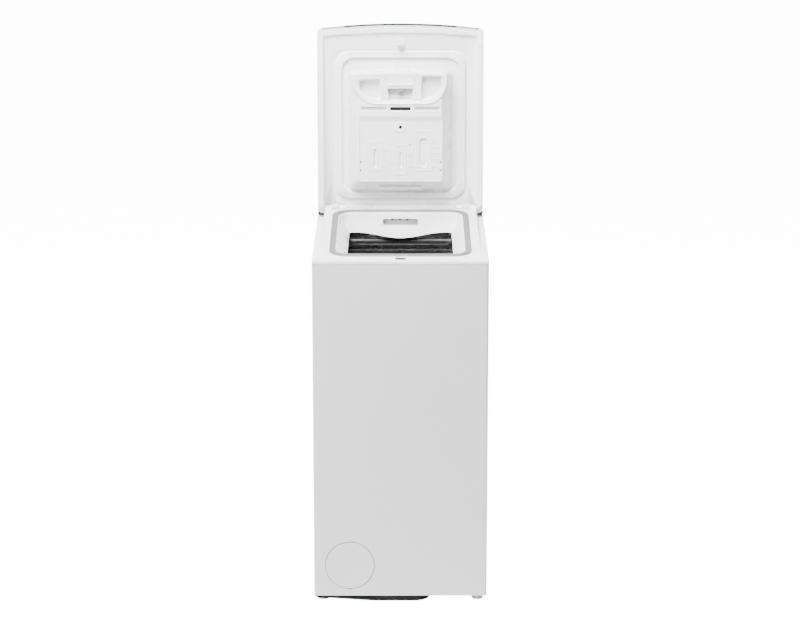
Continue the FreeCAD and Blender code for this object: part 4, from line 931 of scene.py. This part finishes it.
def face_height(x, y):
    scoop = rounded_box(x, y, -SCOOP_HALF, SCOOP_HALF, SCOOP_FOOT, 460.0, SCOOP_RADIUS)
    z = 0.0
    z -= STEP_DOWN * (1.0 - smooth_step(y, 213.0, 231.0))
    z -= 1.6 * inside(scoop + 4.0, 7.0) * smooth_step(FACE_HEAD - y, 4.0, 16.0)
    z += 2.4 * bead(scoop + 2.5, 2.6)
    for x0, x1, y1 in ((-100.0, -47.0, 315.5), (50.0, 102.0, 322.5)):
        mouth = max(rounded_box(x, y, x0, x1, 266.5, y1, 5.0), scoop + 10.5)
        z += 1.0 * bead(mouth - 2.0, 2.2)
        z -= 15.0 * inside(mouth, 3.4) * (1.0 - 0.25 * smooth_step(y, 270.0, 318.0))
    taper = (300.0 - y) * 0.16
    pocket = rounded_box(abs(x), y, -60.0, LATCH_HALF + 1.0 - max(0.0, taper), 266.5, 295.0, 3.0)
    flap = rounded_box(x, y, -36.5, 36.5, 306.0, 345.0, 2.0)
    z += 1.6 * inside(rounded_box(x, y, -33.0, 33.0, 299.5, 307.5, 3.0), 2.0)
    z -= 1.1 * bead(flap, 0.9) * smooth_step(y, 304.0, 310.0) * (1.0 - smooth_step(y, 330.0, 336.0))
    z -= 14.0 * inside(pocket, 2.2)
    z += 4.0 * inside(rounded_box(x, y, -28.0, 28.0, 255.0, 277.0, 2.0), 2.0) * inside(pocket, 2.2)
    for x0, x1, sink in ((-94.5, -32.5, 5.0), (-25.5, 25.5, 9.0), (33.0, 94.5, 5.0)):
        lift = 0.012 * (abs(x) - 33.0) if abs(x) > 33.0 else 0.0
        z -= sink * inside(rounded_box(x, y - lift, x0, x1, 241.2, 250.6, 4.6), 1.8)
    boss = math.hypot(x, y - BOSS_Y)
    z += 1.5 * (1.0 - smooth_step(boss, 11.5, 15.5))
    z -= 4.0 * (1.0 - smooth_step(boss, 2.6, 4.4))
    for f0, f1, g0, g1, w0, w1, h0, h1 in WINDOWS:
        z += 1.1 * bead(rounded_box(x, y, f0, f1, g0, g1, 3.0), 1.2)
        window = rounded_box(x, y, w0, w1, h0, h1, (w1 - w0) / 2 - 0.1)
        z += 0.5 * bead(window - 1.0, 1.0)
        z -= 3.4 * inside(window, 2.4)
    for px, py, radius in PINHOLES:
        z -= 3.5 * (1.0 - smooth_step(math.hypot(x - px, y - py), radius * 0.5, radius + 0.5))
    return z


# %% Dispenser face
GRID_ACROSS, GRID_UP = 176, 216
FACE_TOP_Z = FACE_Z + 2.6
SKIRT = 27.0


def dispenser_face():
    bm = bmesh.new()
    bmesh.ops.create_grid(bm, x_segments=GRID_ACROSS, y_segments=GRID_UP, size=1.0)

    def shape(x, y, z):
        up = FACE_FOOT + (y + 1.0) / 2.0 * (FACE_HEAD - FACE_FOOT)
        half = face_half(up)
        across = x * half
        rim = min(half - abs(across), up - FACE_FOOT, (FACE_HEAD - up) * 1.4)
        edge = 4.5 * (1.0 - math.sqrt(max(0.0, 1.0 - (1.0 - min(1.0, rim / 4.5)) ** 2)))
        arch = TRAY_ARCH * smooth_step(up, 300.0, FACE_HEAD) * (1.0 - (across / TRAY_HALF) ** 2)
        return (across, up + arch + FACE_LIFT, FACE_TOP_Z + face_height(across, up) - edge)

    move(bm, shape)
    border = [e for e in bm.edges if e.is_boundary]
    skirt = bmesh.ops.extrude_edge_only(bm, edges=border)
    down = [v for v in skirt["geom"] if isinstance(v, bmesh.types.BMVert)]
    for vert in down:
        at_scoop = smooth_step(vert.co.y - FACE_LIFT, SCOOP_FOOT - 8.0, SCOOP_FOOT + 30.0)
        vert.co.z = FACE_Z - SKIRT * at_scoop - 3.0
    face_along(bm, 2)
    place_on_lid(bm)
    piece = add_piece("dispenser_face", bm, "dispenser_cover", sharp=60.0)
    thicken(piece, 1.4)
    return piece


dispenser_face()

# %% [markdown]
# ### Level marks
# Beside each window stand the raised marks of its scale. They are small bars without any
# lettering: the fine detail of a real moulding, but nothing to read.

# %% Level marks
MARK_ROWS = ((-44.0, (106.5, 124.0, 139.5, 146.0)), (17.5, (97.5, 107.0, 118.5, 130.0, 136.5)),
             (77.5, (106.5, 124.5, 140.5, 153.5, 166.5, 172.5)))


def level_marks():
    bm = bmesh.new()
    lower_face = FACE_TOP_Z - STEP_DOWN
    for x, rows in MARK_ROWS:
        for index, y in enumerate(rows):
            length = 11.0 if index % 2 else 8.0
            for start, end in ((x, x + 3.2), (x + 4.4, x + length)):
                add_box(bm, (start, y - 0.8, lower_face - 1.0), (end, y + 0.8, lower_face + 1.3), 0.3, 1)
    place_on_face(bm)
    return add_piece("level_marks", bm, "dispenser_cover")


level_marks()

# %% [markdown]
# ### Painted shade in the holes, and the latch
# Dark pieces behind the face paint the shade inside its holes: plugs in the pinholes and the
# boss, screens behind the slots, and thin bars in the gaps beside the flap. The latch pocket has a
# grey back, and a button in it frees the tray.

# %% Painted shade in the holes, latch pocket and button
def face_hole_shades():
    bm = bmesh.new()
    lower_face = FACE_TOP_Z - STEP_DOWN
    # Black plugs and a black screen are painted shade inside the pinholes, the boss and the middle slot; thin bars
    # are painted shade in the gaps beside the flap.
    for x, y, radius in PINHOLES:
        add_rod(bm, (x, y, lower_face - 6.0), (x, y, lower_face + 0.1), radius * 0.9, steps=12, bevel=0)
    add_rod(bm, (0, BOSS_Y, lower_face - 6.0), (0, BOSS_Y, lower_face + 1.6), 3.8, steps=20, bevel=0)
    add_box(bm, (-25.0, 242.0, FACE_TOP_Z - 9.0), (25.0, 250.0, FACE_TOP_Z - 3.5), 0.4)
    for x in (-34.6, 34.6):
        add_box(bm, (x - 0.6, 310.0, FACE_TOP_Z - 6.0), (x + 0.6, 334.0, FACE_TOP_Z - 1.4), 0.2)
    place_on_face(bm)
    # Paler grey backs are painted shade inside the two side slots.
    pale = bmesh.new()
    for x0, x1 in ((-93.0, -34.0), (34.5, 93.0)):
        add_box(pale, (x0, 242.6, FACE_TOP_Z - 7.0), (x1, 249.6, FACE_TOP_Z - 2.6), 0.4, 1)
    place_on_face(pale)
    add_piece("slot_shades", pale, "dispenser_cover", slot="foot_grey")
    return add_piece("face_hole_shades", bm, "dispenser_cover", slot="black_plastic")


def latch_pocket():
    bm = bmesh.new()
    back = FACE_TOP_Z - 13.0
    add_box(bm, (-29.5, 268.0, back - 4.0), (29.5, 296.0, back + 0.3), 0.4)
    add_box(bm, (-27.0, 266.0, back - 4.0), (27.0, 277.0, back + 5.0), 1.0)
    place_on_face(bm)
    return add_piece("latch_pocket", bm, "dispenser_cover", slot="foot_grey")


def release_button():
    bm = bmesh.new()
    button_front = hinge.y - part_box("dispenser_release_button")[0].y / MM
    add_box(bm, (-6.8, 286.5, button_front - 12.0), (6.8, 291.8, button_front - 0.2), 1.8, 3)
    add_box(bm, (-2.4, 283.5, button_front - 12.0), (2.4, 286.8, button_front - 2.0), 0.8)
    place_on_face(bm)
    return add_piece("release_button", bm, "dispenser_release_button")


face_hole_shades()
latch_pocket()
release_button()

# %% [markdown]
# ## The mouth of the machine
# Below the lid, the frame holds the grey gasket that the lid lands on, the white funnel that
# guides the laundry, and the black bellows that joins the fixed funnel to the swinging tub.
# The top of the frame slopes down to the front, so heights here depend on y. The slope comes
# from the gasket's own box, which is the only part that follows it exactly.

# %% The sloped plane of the opening
gasket_low, gasket_high = (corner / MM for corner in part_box("lid_gasket"))
GASKET_RISE = 3.0
GASKET_WIDTH = 14.4
PLANE_SLOPE = (gasket_high.z - gasket_low.z - GASKET_RISE) / (gasket_high.y - gasket_low.y)
MOUTH_HALF = gasket_high.x - GASKET_WIDTH - 1.4
MOUTH_FRONT = gasket_low.y + GASKET_WIDTH
MOUTH_BACK = gasket_high.y - GASKET_WIDTH
MOUTH_RADIUS = 33.0


def plane_z(y):
    return gasket_low.z + (y - gasket_low.y) * PLANE_SLOPE


print("opening", round(2 * MOUTH_HALF), "by", round(MOUTH_BACK - MOUTH_FRONT), "mm")

# %% [markdown]
# ### Gasket
# Soft extruded rubber, glued round the opening. Its section is a low cushion, which a loft of
# seven outlines draws: each one steps outwards, and its height follows the cushion.

# %% Gasket
CUSHION = ((0.0, -0.4), (0.3, 1.6), (1.6, 2.7), (7.0, 2.95), (12.4, 2.5), (13.9, 1.2), (14.2, -0.4))


def gasket():
    bm = bmesh.new()
    loops = [loop(bm, MOUTH_HALF + out, MOUTH_FRONT - out, MOUTH_BACK + out,
                  MOUTH_RADIUS + out * 0.7, rise, cuts=4)
             for out, rise in CUSHION]
    loft(bm, loops)
    move(bm, lambda x, y, z: (x, y, plane_z(y) + z))
    face_along(bm, 2)
    return add_piece("lid_seal", bm, "lid_gasket", sharp=60.0)


gasket()

# %% [markdown]
# ### Funnel
# The funnel runs from the round-cornered opening down to a smaller one with tighter corners.
# Its back wall is sculpted: a tongue swells out under the water slot, hollows lie beside it,
# and the lower edge waves down in the middle so that the tongue covers the bellows. A loft
# gives the funnel, and two smooth rules move its back wall.

# %% Funnel
THROAT_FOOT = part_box("throat")[0].z / MM
FOOT_HALF, FOOT_FRONT, FOOT_BACK = 123.0, -228.0, 86.0
WAVE_HALF, WAVE_DROP, WAVE_LIFT = 108.0, 13.0, 8.0
DEPTHS = ((-0.02, 7.0), (0.0, 1.6), (0.012, 0.4), (0.035, -0.2), (0.12, -0.4), (0.3, 0.0), (0.45, 0.0),
          (0.6, 0.0), (0.72, 0.0), (0.84, 0.0), (0.93, 0.0), (0.98, 0.0), (1.0, 0.0))


def funnel():
    bm = bmesh.new()
    loops = []
    for index, (depth, out) in enumerate(DEPTHS):
        share = max(0.0, depth)
        half = MOUTH_HALF + (FOOT_HALF - MOUTH_HALF) * share + out
        front = MOUTH_FRONT + (FOOT_FRONT - MOUTH_FRONT) * share - out
        back = MOUTH_BACK + (FOOT_BACK - MOUTH_BACK) * share + out
        radius = MOUTH_RADIUS + out - (MOUTH_RADIUS - 9.0) * smooth_step(share, 0.02, 0.42)
        loops.append(loop(bm, half, front, back, radius, depth, cuts=30))
    loft(bm, loops)

    def shape(x, y, depth):
        share = max(0.0, depth)
        at_back = smooth_step(y, FOOT_BACK - 22.0, FOOT_BACK - 8.0)
        wave = 0.5 + 0.5 * math.cos(math.pi * min(abs(x), WAVE_HALF) / WAVE_HALF)
        foot = THROAT_FOOT + 0.5 + (WAVE_LIFT - WAVE_DROP * wave) * at_back
        tongue = 0.5 + 0.5 * math.cos(math.pi * min(abs(x), 70.0) / 70.0)
        hollow = bead(abs(x) - 84.0, 24.0)
        curve = math.sin(math.pi * min(1.0, share * 1.05))
        y += at_back * (hollow * 4.5 * curve - tongue * 5.0 * smooth_step(share, 0.45, 1.0))
        top = plane_z(y) - 0.15
        return (x, y, top + (foot - top) * share)

    move(bm, shape)
    face_along(bm, 2)
    piece = add_piece("funnel", bm, "throat", sharp=45.0)
    thicken(piece, 2.2)
    apply_modifiers(piece)
    return piece


throat_piece = funnel()

# %% [markdown]
# ### Water slot
# Water from the dispenser side enters through a wide slot high in the back wall. A round-ended
# block cuts it. Behind it stand a white back and a dark frame with three drip pegs.

# %% Water slot
SLOT_HALF, SLOT_LOW, SLOT_HIGH = 42.0, 815.5, 830.5
SLOT_BACK = MOUTH_BACK + 12.0


def water_slot():
    block = bmesh.new()
    add_box(block, (-SLOT_HALF, MOUTH_BACK - 24.0, SLOT_LOW),
            (SLOT_HALF, MOUTH_BACK + 8.0, SLOT_HIGH), 3.0, 4)
    cut_with(throat_piece, block)
    back = bmesh.new()
    add_box(back, (-SLOT_HALF - 3, MOUTH_BACK + 6, SLOT_LOW - 4),
            (SLOT_HALF + 3, SLOT_BACK, SLOT_HIGH + 3), 0.6)
    add_piece("water_slot_back", back, "throat")
    bm = bmesh.new()
    for low_corner, high_corner in (((-46, MOUTH_BACK - 3, SLOT_LOW - 4), (46, SLOT_BACK, SLOT_LOW - 2)),
                                    ((-46, MOUTH_BACK + 1, SLOT_HIGH + 2), (46, SLOT_BACK, SLOT_HIGH + 4)),
                                    ((-46, MOUTH_BACK - 2, SLOT_LOW - 4), (-44, SLOT_BACK, SLOT_HIGH + 4)),
                                    ((44, MOUTH_BACK - 2, SLOT_LOW - 4), (46, SLOT_BACK, SLOT_HIGH + 4))):
        add_box(bm, low_corner, high_corner, 0.4)
    for x in (-20.0, -1.0, 16.0):
        add_box(bm, (x - 2.0, MOUTH_BACK - 1.0, SLOT_HIGH - 4.5),
                (x + 2.0, SLOT_BACK - 1, SLOT_HIGH + 3), 0.8)
    return add_piece("water_slot_box", bm, "throat", slot="black_plastic")


water_slot()

# %% [markdown]
# ### Bellows
# The bellows hangs from the funnel, which stands still, and ends on the tub, which bounces on
# its springs. Its top widens into a collar that stands behind the funnel's waved edge.

# %% Bellows
bellows_low, bellows_high = (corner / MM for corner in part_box("bellows"))
NECK_HALF, NECK_FRONT, NECK_BACK = 125.0, -190.0, 95.0
FOLD_DEPTH = 9.0
FOLD_COUNT = 1.5
COLLAR = 4.0
FOLD_STEPS = 30


def bellows():
    bm = bmesh.new()
    loops = []
    for step in range(FOLD_STEPS + 1):
        share = step / FOLD_STEPS
        fold = smooth_step(share, 0.12, 0.22) * (1.0 - smooth_step(share, 0.8, 0.9))
        turn = 2 * math.pi * FOLD_COUNT * (share - 0.12) / 0.78
        out = 1.5 + FOLD_DEPTH * fold * (0.5 - 0.5 * math.cos(turn))
        out += COLLAR * smooth_step(share, 0.86, 1.0)
        half = NECK_HALF + (FOOT_HALF - NECK_HALF) * share + out
        front = NECK_FRONT + (FOOT_FRONT - NECK_FRONT) * share - out
        back = NECK_BACK + (FOOT_BACK - NECK_BACK) * share + out
        height = bellows_low.z + (bellows_high.z + WAVE_LIFT - bellows_low.z) * share
        loops.append(loop(bm, half, front, back, 18.0 - 8.0 * share, height, cuts=4))
    loft(bm, loops)
    face_outward(bm, (0.0, -60.0, (bellows_low.z + bellows_high.z) / 2))
    piece = add_piece("folded_bellows", bm, "bellows", sharp=60.0, ride=False)
    thicken(piece, 2.4, offset=1.0)
    apply_modifiers(piece)
    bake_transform(piece)
    return piece


bellows()

# %% [markdown]
# ## Gaps on the front
# Two gaps tell the eye that the front is made of parts: the ring around the round filter
# cover and the seam under the top frame. Each has a darker strip in it, which stands for the
# shade in a real gap. A cover hangs in its opening by its play, so the round gap is widest at
# the top right, and its strip is drawn a little off centre.

# %% Shades in the gaps
cover_low, cover_high = (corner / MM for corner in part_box("filter_cover"))
front_low, front_high = (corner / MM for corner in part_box("front_panel"))
GAP_IN, GAP_OUT = 55.2, 57.9


def ring_shade():
    bm = bmesh.new()
    centre_x = (cover_low.x + cover_high.x) / 2
    centre_z = (cover_low.z + cover_high.z) / 2
    steps = 96
    rings = []
    for radius, shift in ((GAP_IN, 0.0), (GAP_OUT - 0.5, 0.5)):
        ring = []
        for index in range(steps):
            turn = 2 * math.pi * index / steps
            ring.append(bm.verts.new((centre_x + shift + radius * math.cos(turn), front_low.y + 0.02,
                                      centre_z + shift + radius * math.sin(turn))))
        rings.append(ring)
    for index in range(steps):
        after = (index + 1) % steps
        bm.faces.new((rings[0][index], rings[0][after], rings[1][after], rings[1][index]))
    face_along(bm, 1, -1.0)
    shade_piece = add_piece("cover_gap_shade", bm, "filter_housing", slot="black_plastic", extra=True)
    thicken(shade_piece, 1.0)
    return shade_piece


def seam_shade():
    bm = bmesh.new()
    add_box(bm, (front_low.x + 2.0, front_low.y + 0.02, front_high.z - 1.4),
            (front_high.x - 2.0, front_low.y + 4.0, front_high.z + 0.1), 0.2, 1)
    return add_piece("seam_shade", bm, "top_frame", slot="latch_grey", extra=True)


ring_shade()
seam_shade()

# %% [markdown]
# ## Controls on the console
# The programme knob is a low drum with fluted sides and one pointer ridge, and plain marks
# lie round it on the fascia. Both are drawn flat, with z standing out of the fascia, and then
# laid on it: the fascia's tilt is read from the knob's own turning axis.

# %% Knob and dial marks
knob_joint = next(j for j in frame["joints"] if j["name"] == "program_knob_turn")
fascia_tilt = math.atan2(-knob_joint["axis"][1], knob_joint["axis"][2])
KNOB_PLACE = Matrix.Translation(joint_place["program_knob_turn"]) @ Matrix.Rotation(fascia_tilt, 4, "X")
KNOB_RINGS = ((0.4, 23.4, 0.0), (0.8, 24.0, 0.0), (2.4, 24.0, 0.0), (3.0, 23.2, 0.0), (3.2, 20.4, 0.5),
              (4.2, 19.8, 1.0), (11.8, 18.8, 1.0), (12.8, 18.2, 0.5), (13.4, 16.8, 0.0))
FLUTES, FLUTE_DEPTH = 24, 0.9
KNOB_STEPS = 192
MARKS, MARK_SWEEP = 12, math.radians(300.0)


def fluted_knob():
    bm = bmesh.new()
    rings = []
    for height, radius, flute in KNOB_RINGS:
        ring = []
        for index in range(KNOB_STEPS):
            turn = 2 * math.pi * index / KNOB_STEPS
            r = radius - FLUTE_DEPTH * flute * (0.5 + 0.5 * math.cos(FLUTES * turn))
            ring.append(bm.verts.new((r * math.cos(turn), r * math.sin(turn), height)))
        rings.append(ring)
    for lower, upper in zip(rings, rings[1:]):
        for index in range(KNOB_STEPS):
            after = (index + 1) % KNOB_STEPS
            bm.faces.new((lower[index], lower[after], upper[after], upper[index]))
    bm.faces.new(rings[-1])
    bm.faces.new(list(reversed(rings[0])))
    add_box(bm, (-1.1, 3.0, 12.8), (1.1, 15.6, 13.95), 0.4)
    bm.transform(KNOB_PLACE)
    return add_piece("fluted_knob", bm, "program_knob")


def dial_marks():
    bm = bmesh.new()
    for index in range(MARKS):
        turn = MARK_SWEEP * (index / (MARKS - 1) - 0.5)
        mark = bmesh.new()
        add_box(mark, (-0.6, 27.5, -0.3), (0.6, 31.5 if index % 3 else 33.0, 0.12), 0.1, 1)
        mark.transform(KNOB_PLACE @ Matrix.Rotation(turn, 4, "Z"))
        mesh = bpy.data.meshes.new("mark")
        mark.to_mesh(mesh)
        bm.from_mesh(mesh)
        bpy.data.meshes.remove(mesh)
        mark.free()
    return add_piece("dial_marks", bm, "console_housing", slot="latch_grey", extra=True)


fluted_knob()
dial_marks()

# %% [markdown]
# ## The parts that keep their shape
# A part that is already right needs only what a real one has everywhere: edges that are
# slightly round, and so catch the light. A copy of its mesh is merged, its flat faces are
# joined, and a bevel, mostly half a millimetre wide, rounds each sharp edge. The frame's own
# mesh is never touched.

# %% Round the edges of a copy
EDGE_RADIUS = 0.5
RADII = {"front_panel": 0.7, "side_panel_left": 0.7, "side_panel_right": 0.7, "top_frame": 1.2,
         "console_housing": 1.4, "counterweights": 3.0, "control_board": 0.3,
         "trolley_lever": 1.2, "display_window": 0.4, "panel_screws": 0.25, "heater": 0.3}
LIGHTER = {"lid_latch_hook": "white_plastic", "lid_lock": "white_plastic",
           "filter_cover": "white_enamel"}
TUB_END_ON_TOP = {"suspension_springs": False, "sump_hose": True}


def stretch(piece, node):
    """Springs and hose join the hanging tub to the still cabinet; their copy's bevel and place are baked into its
    mesh.
    """
    apply_modifiers(piece)
    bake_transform(piece)


def rounded_copy(node):
    source = frame["nodes"][node].data.copy()
    bm = bmesh.new()
    bm.from_mesh(source)
    bpy.data.meshes.remove(source)
    bmesh.ops.scale(bm, vec=(1 / MM,) * 3, verts=bm.verts)
    bmesh.ops.remove_doubles(bm, verts=bm.verts, dist=0.01)
    bmesh.ops.dissolve_limit(bm, angle_limit=math.radians(0.6), verts=bm.verts, edges=bm.edges)
    piece = add_piece(node + "_dressed", bm, node, sharp=32.0, slot=LIGHTER.get(node),
                      ride=node not in TUB_END_ON_TOP)
    round_edges(piece, RADII.get(node, EDGE_RADIUS))
    if node in TUB_END_ON_TOP:
        stretch(piece, node)
    return piece


for node in sorted(set(slot_of) - remade):
    rounded_copy(node)
